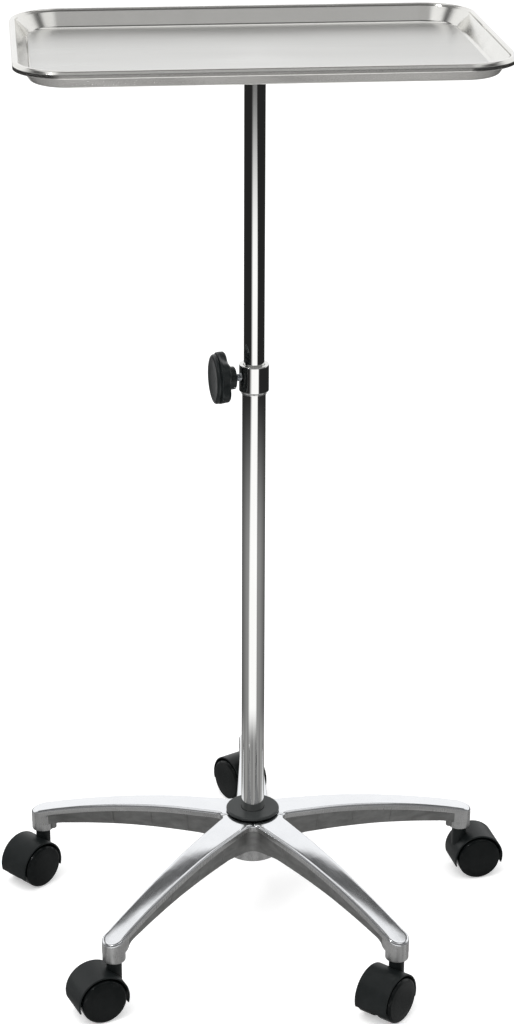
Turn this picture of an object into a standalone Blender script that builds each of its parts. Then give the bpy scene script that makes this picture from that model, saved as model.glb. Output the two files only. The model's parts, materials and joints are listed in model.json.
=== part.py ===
"""Instrument cart (Mayo stand): a rectangular steel tray on a telescoping chrome
mast, a five-leg die-cast aluminium star base and five hooded twin-wheel casters.
Metres, +Z up. The origin is on the mast axis, on the underside of the base hub;
the tray's long side runs along X, the front faces -Y and the first leg points back."""
import math

import bmesh
import bpy
from mathutils import Matrix, Vector

# ---------------------------------------------------------------- driving sizes
GAP = 0.0003                    # clearance between neighbouring pieces
FLOOR = -0.0764

# star base; a station is a distance from the mast axis along a leg
LEGS = 5
LEG_ANGLE = 84.97               # azimuth of leg 0, degrees
LEG_PITCH = 360 / LEGS
SPLIT = math.radians(LEG_PITCH / 2)         # from a leg's axis to the plane between two legs
BOSS_STATION = 0.2548           # caster stem axis
BOSS_R, BOSS_BOTTOM, BOSS_TOP = 0.0124, -0.0150, 0.0040
LUG_R, LUG_INSET = 0.0042, 0.0125           # small round lug inboard of each boss
LEG_END_R = 0.0126              # round end of a leg, seen from above
HALF_ROOT, HALF_TIP = 0.0178, 0.0120        # half width of a leg
TAPER_START, TAPER_RUN, TAPER_POWER = 0.030, 0.190, 1.6
NOTCH_R = 0.0095                # fillet between two legs
EDGE_R = 0.0030                 # rounding of the polished top edge
CROWN = 0.0008                  # rise of the leg's top along its middle
FORM_START = 0.034              # the crown and the batter grow from this station
LIP = 0.0052                    # smooth band below the rounded edge
LIP_STEP = 0.0006               # drop of the ledge under the lip
RECESS = 0.0014                 # the as-cast wall stands back by this much
BATTER = 0.0050                 # the wall slopes inwards by this much more at its foot
HUB_R, HUB_TOP = 0.0303, 0.0410
HUB_CHAMFER = 0.0012            # also on the bosses
POCKET_WALL, POCKET_ROOF = 0.0024, 0.0062
POCKET_DRAFT = 0.0006
# (height against station) of the leg's top and bottom faces, as (station, height)
LEG_TOP = [(0.0, 0.0497), (0.036, 0.0497), (0.056, 0.0486), (0.095, 0.0457), (0.141, 0.0394),
           (0.187, 0.0304), (0.236, 0.0174), (0.2548, 0.0113), (0.270, 0.0066)]
LEG_BOTTOM = [(0.0, 0.0165), (0.056, 0.0155), (0.095, 0.0141), (0.141, 0.0107), (0.187, 0.0047),
              (0.236, -0.0034), (0.2548, -0.0058), (0.270, -0.0075)]
# first and last station of each hollow under a leg; ribs remain between them
POCKETS = [(0.038, 0.086), (0.0885, 0.140), (0.1425, 0.190), (0.1925, 0.228)]
# divisions of the star's skin
ARC_STEPS, ALONG_STEPS, TIP_STEPS = 3, 6, 4
# places across a half leg: 0 axis, 1 start of the edge zone, 2 outline
TOP_COLUMNS, BOTTOM_COLUMNS = (0.0, 1.0, 1.5, 2.0), (0.0, 2.0)

# column fixing
BOLT_HEAD_R, BOLT_HEAD_H = 0.00981, 0.0064  # hexagon, across corners
BOLT_CLEAR_R = 0.0054                       # bore of the washer and of the plug
BOLT_RECESS_TOP, CUT_BOTTOM = 0.0090, -0.004

# mast
TUBE_R, TUBE_BORE = 0.0127, 0.0115          # lower tube, 1 in
TUBE_FOOT = 0.0148
MAST_R, MAST_BORE = 0.0111, 0.0099          # upper tube, 7/8 in
MAST_FOOT = 0.2260
COLLAR_TOP, COLLAR_H, COLLAR_R = 0.5791, 0.0320, 0.0160
COLLAR_LIP = 0.0014                         # thickness of the collar's inward lip
TUBE_TOP = COLLAR_TOP - 0.0070
DISC_TOP, DISC_R, DISC_T = 0.0543, 0.0296, 0.0032
CLAMP_Z = COLLAR_TOP - 0.0141               # clamp screw axis
KNOB_ANGLE = 187.97                         # azimuth of the clamp screw, degrees
KNOB_R, LOBES = 0.0285, 5
LOBE_DEPTH, LOBE_POWER = 0.20, 1.2          # scallops: depth over radius, and sharpness

# tray and its support
TRAY_L, TRAY_W, TRAY_H = 0.486, 0.318, 0.0195
TRAY_CORNER = 0.055
TRAY_CORNER_STEPS = 5
SHEET = 0.0010
RIM_TOP = 0.9240
TRAY_BOTTOM = RIM_TOP - TRAY_H
PLATE_L, PLATE_W, PLATE_T = 0.200, 0.130, 0.0030
PLATE_CORNER = 0.014
STUD_X, STUD_Y = 0.080, 0.046
SOCKET_TOP = TRAY_BOTTOM - 0.0018 - PLATE_T - 2 * GAP
SOCKET_BOTTOM = SOCKET_TOP - 0.0198
GRUB_Z = SOCKET_BOTTOM + 0.0075
PLATE_Z = SOCKET_TOP + GAP                  # plate underside
PLATE_TOP = PLATE_Z + PLATE_T

# casters
WHEEL_R, TRAIL = 0.0250, 0.0194
HOOD_R, HOOD_T, HOOD_HALF = 0.0290, 0.0017, 0.0200
WEB_HALF = 0.0034
WHEEL_SPACE_START = 0.0036                  # inner end of a wheel space, from the mid-plane
NECK_R = 0.0082
NECK_TOP = BOSS_BOTTOM - FLOOR - GAP - WHEEL_R      # above the axle
STEM_BORE_R = 0.0058
AXLE_R, AXLE_HALF = 0.0030, 0.0176
CASTERS = (("back", 0, 119.3), ("left", 1, 220.5), ("front_left", 2, 199.3),
           ("front_right", 3, 226.5), ("right", 4, 7.5))   # name, leg, trail azimuth

# Euler turns that lay a part modelled along +Z level
TOWARDS_KNOB = (0, math.radians(90), math.radians(KNOB_ANGLE))
TOWARDS_BACK = (0, math.radians(90), math.radians(90))

MATERIALS = {
    "aluminium": dict(colour=(0.80, 0.81, 0.83), roughness=0.22, metallic=1.0),
    "chrome": dict(colour=(0.62, 0.62, 0.60), roughness=0.08, metallic=1.0),
    "stainless": dict(colour=(0.64, 0.64, 0.62), roughness=0.30, metallic=1.0),
    "zinc": dict(colour=(0.60, 0.62, 0.65), roughness=0.30, metallic=1.0),
    "black_plastic": dict(colour=(0.020, 0.022, 0.022), roughness=0.45, metallic=0.0),
    "nylon": dict(colour=(0.70, 0.69, 0.65), roughness=0.50, metallic=0.0),
    "rubber": dict(colour=(0.03, 0.03, 0.03), roughness=0.80, metallic=0.0),
}
SHARP_ANGLE = math.radians(32)  # edges steeper than this are shaded sharp

# ------------------------------------------------------------------------ scene
for old in list(bpy.data.objects):
    bpy.data.objects.remove(old, do_unlink=True)
PARTS = bpy.data.collections.new("instrument_cart")
CUTTERS = bpy.data.collections.new("cutters")
bpy.context.scene.collection.children.link(PARTS)
bpy.context.scene.collection.children.link(CUTTERS)
CUTTERS.hide_render = True


def material(name, colour, roughness, metallic):
    made = bpy.data.materials.new(name)
    made.use_nodes = True
    shader = made.node_tree.nodes["Principled BSDF"]
    shader.inputs["Base Color"].default_value = (*colour, 1)
    shader.inputs["Roughness"].default_value = roughness
    shader.inputs["Metallic"].default_value = metallic
    made.diffuse_color = (*colour, 1)
    return made


def add(name, mesh, finish, at=(0, 0, 0), turn=(0, 0, 0), smooth=True, parent=None):
    """A named part with its own material; meshes may be shared between parts."""
    obj = bpy.data.objects.new(name, mesh)
    PARTS.objects.link(obj)
    made = material(name + "_" + finish, **MATERIALS[finish])
    if not mesh.materials:
        mesh.materials.append(made)
    obj.material_slots[0].link = "OBJECT"
    obj.material_slots[0].material = made
    obj.location = at
    obj.rotation_euler = turn
    obj.parent = parent
    if smooth:
        mesh.shade_smooth()
        mesh.set_sharp_from_angle(angle=SHARP_ANGLE)
    return obj


def empty(name, at, turn=(0, 0, 0)):
    obj = bpy.data.objects.new(name, None)
    obj.empty_display_size = 0.02
    PARTS.objects.link(obj)
    obj.location = at
    obj.rotation_euler = turn
    return obj


def helper(name, mesh, at=(0, 0, 0), turn=(0, 0, 0), group=CUTTERS):
    """A cutter or an added solid, kept out of the render."""
    obj = bpy.data.objects.new(name, mesh)
    group.objects.link(obj)
    obj.location = at
    obj.rotation_euler = turn
    obj.display_type = "WIRE"
    obj.hide_render = True
    return obj


def helper_group(name):
    made = bpy.data.collections.new(name)
    CUTTERS.children.link(made)
    made.hide_render = True
    return made


def boolean(obj, operation, other, name):
    """A boolean with another object, or with every object of a collection."""
    modifier = obj.modifiers.new(name, "BOOLEAN")
    modifier.operation = operation
    modifier.solver = "EXACT"
    if isinstance(other, bpy.types.Collection):
        modifier.operand_type = "COLLECTION"
        modifier.collection = other
    else:
        modifier.object = other


# ------------------------------------------------------------------ mesh makers
def mesh_from(bm, name):
    bmesh.ops.remove_doubles(bm, verts=bm.verts, dist=1e-6)
    bmesh.ops.recalc_face_normals(bm, faces=bm.faces)
    mesh = bpy.data.meshes.new(name)
    bm.to_mesh(mesh)
    bm.free()
    return mesh


def frozen(obj, name):
    """A clean mesh of the object with its modifiers applied; the object is removed."""
    bpy.context.view_layer.update()
    graph = bpy.context.evaluated_depsgraph_get()
    bm = bmesh.new()
    bm.from_mesh(bpy.data.meshes.new_from_object(obj.evaluated_get(graph)))
    bpy.data.objects.remove(obj, do_unlink=True)
    return mesh_from(bm, name)


def turned(name, profile, steps=24, closed=False):
    """A turned solid: the (radius, height) profile runs down the outer side."""
    mesh = bpy.data.meshes.new(name)
    edges = [(i, i + 1) for i in range(len(profile) - 1)]
    if closed:
        edges.append((len(profile) - 1, 0))
    mesh.from_pydata([(radius, 0, z) for radius, z in profile], edges, [])
    obj = bpy.data.objects.new(name, mesh)
    CUTTERS.objects.link(obj)
    screw = obj.modifiers.new("turn", "SCREW")
    screw.steps = screw.render_steps = steps
    screw.use_merge_vertices = True
    screw.merge_threshold = 1e-6
    return frozen(obj, name)


def tube(name, outer, bore, bottom, top, steps=20, ease=0.0004):
    """A pipe whose outer edges are eased by a small chamfer."""
    return turned(name, [(bore, top), (outer - ease, top), (outer, top - ease),
                         (outer, bottom + ease), (outer - ease, bottom), (bore, bottom)],
                  steps, closed=True)


def rod(name, radius, bottom, top, steps=16, ease=0.0004):
    """A round bar whose edges are eased by a small chamfer."""
    return turned(name, [(0, top), (radius - ease, top), (radius, top - ease),
                         (radius, bottom + ease), (radius - ease, bottom), (0, bottom)], steps)


def prism(name, points, bottom, top):
    """A flat outline drawn up from bottom to top."""
    bm = bmesh.new()
    face = bm.faces.new([bm.verts.new((x, y, bottom)) for x, y in points])
    drawn = bmesh.ops.extrude_face_region(bm, geom=[face])
    bmesh.ops.translate(bm, vec=(0, 0, top - bottom),
                        verts=[v for v in drawn["geom"] if isinstance(v, bmesh.types.BMVert)])
    return mesh_from(bm, name)


def join_rings(bm, rings):
    """Quads between each closed ring of vertices and the next."""
    for ring, following in zip(rings, rings[1:]):
        for j in range(len(ring)):
            k = (j + 1) % len(ring)
            bm.faces.new((ring[j], ring[k], following[k], following[j]))


def arc(radius, first, last, steps):
    """Points of an arc about the origin, between two angles in degrees."""
    angles = [math.radians(first + (last - first) * k / steps) for k in range(steps + 1)]
    return [(radius * math.cos(angle), radius * math.sin(angle)) for angle in angles]


def rounded_rectangle(half_x, half_y, radius, steps):
    """Anticlockwise outline about the origin."""
    points = []
    for side_x, side_y, first in ((1, 1, 0), (-1, 1, 90), (-1, -1, 180), (1, -1, 270)):
        points += [(side_x * (half_x - radius) + x, side_y * (half_y - radius) + y)
                   for x, y in arc(radius, first, first + 90, steps)]
    return points


# --------------------------------------------------------------- shape of a leg
def monotone(points, x):
    """Height at x of the monotone cubic through the (x, y) points."""
    xs = [point[0] for point in points]
    ys = [point[1] for point in points]
    count = len(xs)
    slope = [(ys[i + 1] - ys[i]) / (xs[i + 1] - xs[i]) for i in range(count - 1)]
    tangent = [slope[0]]
    for before, after in zip(slope, slope[1:]):
        turns = before * after <= 0
        tangent.append(0.0 if turns else 2 * before * after / (before + after))
    tangent.append(slope[-1])
    x = min(max(x, xs[0]), xs[-1])
    i = max(k for k in range(count - 1) if xs[k] <= x)
    span = xs[i + 1] - xs[i]
    t = (x - xs[i]) / span
    return ((2 * t ** 3 - 3 * t ** 2 + 1) * ys[i]
            + (t ** 3 - 2 * t ** 2 + t) * span * tangent[i]
            + (3 * t ** 2 - 2 * t ** 3) * ys[i + 1]
            + (t ** 3 - t ** 2) * span * tangent[i + 1])


def ramp(distance, run):
    """Rises from 0 to 1 over the run."""
    return min(1.0, max(0.0, distance / run))


def half_width(station):
    fall = max(0.0, 1 - max(0.0, station - TAPER_START) / TAPER_RUN) ** TAPER_POWER
    return HALF_TIP + (HALF_ROOT - HALF_TIP) * fall


def fit_notch():
    """Centre distance, tangent station and root station of the fillet between legs,
    found by bisection for a fillet that just touches the leg's side."""
    stations = [0.02 + 0.0002 * k for k in range(250)]

    def nearest(distance):
        x, y = distance * math.cos(SPLIT), distance * math.sin(SPLIT)
        return min((math.hypot(station - x, half_width(station) - y), station)
                   for station in stations)

    low, high = 0.03, 0.08
    for _ in range(50):
        middle = (low + high) / 2
        if nearest(middle)[0] < NOTCH_R:
            low = middle
        else:
            high = middle
    return high, nearest(high)[1], (high - NOTCH_R) * math.cos(SPLIT)


ROOT_WAY = Vector((math.cos(SPLIT), math.sin(SPLIT)))
NOTCH_DISTANCE, NOTCH_TANGENT, NOTCH_ROOT = fit_notch()
NOTCH_CENTRE = Vector((NOTCH_DISTANCE * math.cos(SPLIT), NOTCH_DISTANCE * math.sin(SPLIT)))


def leg_stations():
    """(station, half width, outward normal) from the mast axis to the tip. Inside the
    notch the half leg ends on the split plane and has no normal."""
    stations = [(station, station * math.tan(SPLIT), None) for station in (0.0, 0.020)]
    first = math.atan2(NOTCH_ROOT * math.tan(SPLIT) - NOTCH_CENTRE.y,
                       NOTCH_ROOT - NOTCH_CENTRE.x) % math.tau
    last = math.atan2(half_width(NOTCH_TANGENT) - NOTCH_CENTRE.y,
                      NOTCH_TANGENT - NOTCH_CENTRE.x) % math.tau
    for k in range(ARC_STEPS + 1):
        angle = first + (last - first) * k / ARC_STEPS
        outward = Vector((-math.cos(angle), -math.sin(angle)))
        point = NOTCH_CENTRE - outward * NOTCH_R
        stations.append((point.x, point.y, outward))
    end = BOSS_STATION - 0.006
    for k in range(1, ALONG_STEPS + 1):
        # the power packs the stations slightly towards the root
        station = NOTCH_TANGENT + (end - NOTCH_TANGENT) * (k / ALONG_STEPS) ** 1.15
        slope = (half_width(station + 1e-4) - half_width(station - 1e-4)) / 2e-4
        stations.append((station, half_width(station), Vector((-slope, 1)).normalized()))
    for k in range(TIP_STEPS + 1):
        angle = math.pi / 2 * (1 - k / TIP_STEPS)
        stations.append((BOSS_STATION + LEG_END_R * math.cos(angle),
                         LEG_END_R * math.sin(angle) if k < TIP_STEPS else 0.0,
                         Vector((math.cos(angle), math.sin(angle)))))
    return stations


def edge_distance(station, across, half):
    """Distance from a point of the leg to the outline."""
    if station < NOTCH_TANGENT:
        distance = (Vector((station, across)) - NOTCH_CENTRE).length - NOTCH_R
    elif station > BOSS_STATION:
        distance = LEG_END_R - math.hypot(station - BOSS_STATION, across)
    else:
        distance = half - across
    return max(0.0, distance)


def top_height(station, across, half):
    """Height of the crowned top with its rounded edge."""
    z = monotone(LEG_TOP, station)
    if station > NOTCH_TANGENT:
        grow = ramp(station - FORM_START, 0.03)
        fade = ramp(BOSS_STATION + LEG_END_R - station, 0.02)
        part = min(1.0, across / max(1e-6, half - EDGE_R))
        z += CROWN * grow * fade * (1 - part * part)
    distance = edge_distance(station, across, half)
    if distance < EDGE_R:
        z -= EDGE_R - math.sqrt(max(0.0, EDGE_R ** 2 - (EDGE_R - distance) ** 2))
    return z


def recess(station):
    """How far the as-cast wall stands back; nothing round the caster boss."""
    return RECESS * ramp(BOSS_STATION - 0.010 - station, 0.006)


def batter(station):
    """Extra slope of the wall at its foot, fading out at both ends of the leg."""
    return (BATTER * ramp(station - FORM_START, 0.024)
            * ramp(BOSS_STATION - 0.008 - station, 0.016))


def spread(columns, half):
    """Places across the half leg of the numbered columns."""
    if half < 1e-6:
        return [0.0] * len(columns)
    flat = max(0.35, 1 - EDGE_R / half)
    return [half * (flat * column if column <= 1 else flat + (1 - flat) * (column - 1))
            for column in columns]


def section(station, half, outward):
    """Top, wall and bottom lines of a half leg's section, as (station, across, z)
    points. The wall is empty where the half leg ends on the split plane."""
    way = ROOT_WAY * (station / NOTCH_ROOT) if outward is None else outward
    inset = recess(station) * way
    foot = (recess(station) + batter(station)) * way
    z_bottom = monotone(LEG_BOTTOM, station)
    top = [(station, across, top_height(station, across, half))
           for across in spread(TOP_COLUMNS, half)]
    wall = []
    if outward is not None:
        edge = monotone(LEG_TOP, station) - EDGE_R
        top[-1] = (station, half, edge)
        wall = [(station, half, edge), (station, half, edge - LIP),
                (station - inset.x, half - inset.y, edge - LIP - LIP_STEP),
                (station - foot.x, half - foot.y, z_bottom)]
    round_end = outward is not None and station > BOSS_STATION
    bottom = []
    for across in spread(BOTTOM_COLUMNS, half):
        part = across / half if half > 1e-6 else 0.0
        bottom.append((station - foot.x * (1 if round_end else part),
                       across - foot.y * part, z_bottom))
    return top, wall, bottom


# -------------------------------------------------------------------- star base
def leg_turn(leg):
    return math.radians(LEG_ANGLE + LEG_PITCH * leg)


def leg_point(leg, station, z=0):
    """A point on the axis of a leg."""
    return station * math.cos(leg_turn(leg)), station * math.sin(leg_turn(leg)), z


def star_mesh():
    """The five-leg star as one closed skin: crowned top, rounded edge, lip and
    recessed wall. Each half leg is a grid bounded by the plane between two legs."""
    sections = [section(*station) for station in leg_stations()]
    bm = bmesh.new()
    for leg in range(LEGS):
        turn = Matrix.Rotation(leg_turn(leg), 2)
        for side in (1, -1):
            rows = [[[bm.verts.new((*(turn @ Vector((station, side * across))), z))
                      for station, across, z in line] for line in lines]
                    for lines in sections]
            for row, following in zip(rows, rows[1:]):
                for near, far in zip(row, following):
                    for j in range(min(len(near), len(far)) - 1):
                        bm.faces.new((near[j], near[j + 1], far[j + 1], far[j]))
    bmesh.ops.remove_doubles(bm, verts=bm.verts, dist=2e-6)
    bmesh.ops.dissolve_degenerate(bm, edges=bm.edges, dist=1e-7)
    return mesh_from(bm, "star")


def pocket(leg, first, last):
    """Hollow of a leg between two stations, open below."""
    turn = Matrix.Rotation(leg_turn(leg), 2)
    bm = bmesh.new()
    rings = []
    for station in (first, last):
        half = half_width(station) - RECESS - batter(station) - POCKET_WALL
        roof_half = half - POCKET_DRAFT
        roof = monotone(LEG_TOP, station) - POCKET_ROOF
        mouth = monotone(LEG_BOTTOM, station) - 0.004
        corners = ((-half, mouth), (half, mouth), (roof_half, roof), (-roof_half, roof))
        rings.append([bm.verts.new((*(turn @ Vector((station, across))), z))
                      for across, z in corners])
    join_rings(bm, rings)
    for ring in rings:
        bm.faces.new(ring)
    return mesh_from(bm, "pocket")


def disc_with_chamfer(name, radius, bottom, top, steps):
    """A round solid, chamfered at its lower edge only."""
    return turned(name, [(0, top), (radius, top), (radius, bottom + HUB_CHAMFER),
                         (radius - HUB_CHAMFER, bottom), (0, bottom)], steps)


def build_base():
    base = add("base_casting", star_mesh(), "aluminium")
    adds, cuts = helper_group("base_adds"), helper_group("base_cuts")
    helper("hub", disc_with_chamfer("hub", HUB_R, 0, HUB_TOP, 24), group=adds)
    for leg in range(LEGS):
        at_boss = leg_point(leg, BOSS_STATION)
        helper("boss_%d" % leg, disc_with_chamfer("boss", BOSS_R, BOSS_BOTTOM, BOSS_TOP, 16),
               at_boss, group=adds)
        helper("lug_%d" % leg, rod("lug", LUG_R, BOSS_BOTTOM + 0.0022, BOSS_TOP + 0.001, 8),
               leg_point(leg, BOSS_STATION - LUG_INSET), group=adds)
        for first, last in POCKETS:
            helper("pocket_%d_%d" % (leg, round(first * 1000)), pocket(leg, first, last),
                   group=cuts)
        helper("stem_bore_%d" % leg,
               rod("stem_bore", STEM_BORE_R, BOSS_BOTTOM - 0.003, BOSS_TOP + 0.002, 12, 0.0),
               at_boss, group=cuts)
    # name, radius, bottom, top and sides of the cuts on the mast axis
    for name, radius, bottom, top, steps in (
            ("column_bore", TUBE_R + GAP, TUBE_FOOT - GAP, 0.0560, 20),
            ("bolt_hole", 0.0056, CUT_BOTTOM, 0.0260, 16),
            ("bolt_recess", 0.0130, CUT_BOTTOM, BOLT_RECESS_TOP, 20)):
        helper(name, rod(name, radius, bottom, top, steps, 0.0), group=cuts)
    boolean(base, "UNION", adds, "hub_and_bosses")
    boolean(base, "DIFFERENCE", cuts, "hollows_and_bores")


# ------------------------------------------------- column fixing and lower tube
def build_column_fixing():
    """Bolt and washer in the hub's recess, and the plug in the tube's foot."""
    hexagon = arc(BOLT_HEAD_R, 0, 300, 5)
    bolt = add("base_bolt", prism("bolt_head", hexagon, 0.0, BOLT_HEAD_H), "zinc", smooth=False)
    shank = helper("bolt_shank", rod("bolt_shank", 0.0050, 0.0050, 0.0360, 14))
    boolean(bolt, "UNION", shank, "shank")
    washer_z = BOLT_HEAD_H + GAP
    add("base_bolt_washer", tube("washer", 0.0105, BOLT_CLEAR_R, washer_z, washer_z + 0.0020,
                                 20, 0.0003), "zinc")
    plug_foot = TUBE_FOOT + 0.0004
    add("lower_tube_plug",
        turned("plug", [(0, 0.0560), (0.0102, 0.0560), (0.0111, 0.0550), (0.0111, plug_foot),
                        (BOLT_CLEAR_R, plug_foot), (BOLT_CLEAR_R, 0.0380), (0, 0.0380)], 20),
        "zinc")


def cut_clamp_hole(obj, name, radius):
    hole = helper(name, rod("hole", radius, 0.004, 0.020, 12, 0.0), (0, 0, CLAMP_Z),
                  TOWARDS_KNOB)
    boolean(obj, "DIFFERENCE", hole, "clamp_hole")


def build_lower_tube():
    lower = add("lower_tube", tube("lower_tube", TUBE_R, TUBE_BORE, TUBE_FOOT, TUBE_TOP, 20),
                "chrome")
    cut_clamp_hole(lower, "lower_tube_hole", 0.0042)
    bore, bottom = TUBE_R + GAP, DISC_TOP - DISC_T
    add("column_cover_disc",
        turned("disc", [(bore, DISC_TOP), (DISC_R - 0.0010, DISC_TOP),
                        (DISC_R, DISC_TOP - 0.0010), (DISC_R, bottom), (bore, bottom)],
               28, closed=True), "black_plastic")


# ------------------------------------------------------------- collar and clamp
def build_collar():
    bottom, lip_bottom = COLLAR_TOP - COLLAR_H, COLLAR_TOP - COLLAR_LIP
    bore, lip_bore = TUBE_R + GAP, 0.0115
    collar = add("collar",
                 turned("collar", [(lip_bore, COLLAR_TOP), (COLLAR_R - 0.0010, COLLAR_TOP),
                                   (COLLAR_R, COLLAR_TOP - 0.0010), (COLLAR_R, bottom + 0.0024),
                                   (COLLAR_R - 0.0018, bottom + 0.0004), (0.0136, bottom),
                                   (bore, bottom), (bore, lip_bottom), (lip_bore, lip_bottom)],
                        20, closed=True), "chrome")
    cut_clamp_hole(collar, "collar_hole", 0.0043)
    add("collar_bush", tube("collar_bush", 0.0127, 0.0113, COLLAR_TOP - 0.0066,
                            lip_bottom - GAP, 20, 0.0002), "nylon")


def knob_mesh():
    """A five-lobed grip: round outer face with a groove behind it, scalloped body and
    a round neck."""
    # radius, distance from the mast axis, share of the scallop depth
    rings = [(0.0, 0.0441, 0), (0.0180, 0.0446, 0), (0.0256, 0.0441, 0), (0.0262, 0.0426, 0),
             (0.0254, 0.0402, 0), (0.0280, 0.0394, 0.35), (KNOB_R, 0.0372, 0.7),
             (KNOB_R, 0.0318, 1), (0.0266, 0.0299, 1), (0.0124, 0.0290, 0),
             (0.0120, 0.0214, 0), (0.0112, 0.0206, 0), (0.0043, 0.0206, 0),
             (0.0043, 0.0334, 0), (0.0, 0.0334, 0)]
    around = 4 * LOBES
    bm = bmesh.new()
    made = []
    for full_radius, z, share in rings:
        ring = []
        for k in range(around):
            angle = 2 * math.pi * k / around
            dip = 0.5 - 0.5 * math.cos(LOBES * (angle - math.radians(54)))
            radius = full_radius * (1 - LOBE_DEPTH * share * dip ** LOBE_POWER)
            ring.append(bm.verts.new((radius * math.cos(angle), radius * math.sin(angle), z)))
        made.append(ring)
    join_rings(bm, made)
    return mesh_from(bm, "knob")


def build_clamp():
    """Shoe, screw and knob, modelled along +Z of the clamp screw's axis."""
    axis = empty("knob_axis", (0, 0, CLAMP_Z), TOWARDS_KNOB)
    add("clamp_shoe", rod("shoe", 0.0037, 0.01135, 0.0136, 14, 0.0003), "nylon", parent=axis)
    add("clamp_screw", rod("screw", 0.0040, 0.0139, 0.0330, 14, 0.0006), "zinc", parent=axis)
    add("clamp_knob", knob_mesh(), "black_plastic", parent=axis)


# ------------------------------------------------------------------- upper mast
def build_upper_tube():
    add("upper_tube", tube("upper_tube", MAST_R, MAST_BORE, MAST_FOOT, SOCKET_TOP - 0.0030, 20),
        "chrome")
    foot = MAST_FOOT
    add("upper_tube_glide",
        turned("glide", [(0, foot + 0.0140), (0.0088, foot + 0.0140), (0.0095, foot + 0.0130),
                         (0.0095, foot - GAP), (0.0112, foot - GAP), (0.0112, foot - 0.0046),
                         (0.0102, foot - 0.0056), (0, foot - 0.0056)], 20), "nylon")


def build_socket():
    """Flanged cap on the mast's top end, with a grub screw at the back."""
    top, bottom, bore = SOCKET_TOP, SOCKET_BOTTOM, MAST_R + GAP
    socket = add("tray_socket",
                 turned("socket", [(0, top), (0.0190, top), (0.0190, top - 0.0040),
                                   (0.0162, top - 0.0070), (0.0162, bottom + 0.0010),
                                   (0.0152, bottom), (bore, bottom), (bore, top - 0.0026),
                                   (0, top - 0.0026)], 20), "zinc")
    hole = helper("grub_hole", rod("grub_hole", 0.0033, 0.009, 0.022, 12, 0.0),
                  (0, 0, GRUB_Z), TOWARDS_BACK)
    boolean(socket, "DIFFERENCE", hole, "grub_hole")
    add("socket_grub_screw", rod("grub", 0.0030, MAST_R + GAP, 0.0160, 12, 0.0004), "zinc",
        at=(0, 0, GRUB_Z), turn=TOWARDS_BACK)


def build_tray_support():
    """Plate with a rubber grommet and a tray stud near each corner."""
    outline = rounded_rectangle(PLATE_L / 2, PLATE_W / 2, PLATE_CORNER, 3)
    plate = add("tray_support_plate", prism("plate", outline, PLATE_Z, PLATE_TOP), "zinc",
                smooth=False)
    cuts = helper_group("plate_cuts")
    for word, side_x, side_y in (("front_left", -1, -1), ("front_right", 1, -1),
                                 ("back_left", -1, 1), ("back_right", 1, 1)):
        at = (side_x * STUD_X, side_y * STUD_Y, 0)
        helper("grommet_hole_" + word,
               rod("grommet_hole", 0.0053, PLATE_Z - 0.01, PLATE_TOP + 0.01, 12, 0.0),
               at, group=cuts)
        add("tray_grommet_" + word,
            turned("grommet", [(0.0034, PLATE_TOP + 0.0015), (0.0070, PLATE_TOP + 0.0015),
                               (0.0074, PLATE_TOP + 0.0011), (0.0074, PLATE_TOP + GAP),
                               (0.0050, PLATE_TOP + GAP), (0.0050, PLATE_Z - GAP),
                               (0.0068, PLATE_Z - GAP), (0.0062, PLATE_Z - 0.0018),
                               (0.0034, PLATE_Z - 0.0018)], 12, closed=True),
            "rubber", at=at)
        add("tray_stud_" + word,
            rod("stud", 0.0030, PLATE_Z - 0.0060, TRAY_BOTTOM - GAP, 10, 0.0008),
            "stainless", at=at)
    boolean(plate, "DIFFERENCE", cuts, "grommet_holes")


# ------------------------------------------------------------------------- tray
def tray_mesh():
    """The inner and upper surface of a pressed pan: floor, sloping wall and rolled
    rim. The faces are wound so that the floor's normal points up."""
    # inset from the tray's outline, height against the rim's top
    profile = [(0.0205, -TRAY_H + SHEET), (0.0163, -TRAY_H + SHEET + 0.0014),
               (0.0140, -TRAY_H + SHEET + 0.0046), (0.0080, -0.0046), (0.0066, -0.0012),
               (0.0040, 0.0), (0.0012, -0.0014), (0.0, -0.0044), (0.0, -0.0076)]
    points = []
    for inset, z in profile:
        outline = rounded_rectangle(TRAY_L / 2 - inset, TRAY_W / 2 - inset,
                                    TRAY_CORNER - inset, TRAY_CORNER_STEPS)
        points += [(x, y, RIM_TOP + z) for x, y in outline]
    count = len(outline)
    faces = [tuple(range(count))]
    for start in range(0, len(points) - count, count):
        for j in range(count):
            k = (j + 1) % count
            faces.append((start + k, start + j, start + count + j, start + count + k))
    mesh = bpy.data.meshes.new("tray")
    mesh.from_pydata(points, [], faces)
    return mesh


def build_tray():
    tray = add("tray", tray_mesh(), "stainless", parent=empty("tray_lift", (0, 0, 0)))
    sheet = tray.modifiers.new("sheet", "SOLIDIFY")
    sheet.thickness = SHEET
    sheet.offset = -1.0
    sheet.use_even_offset = True


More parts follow.
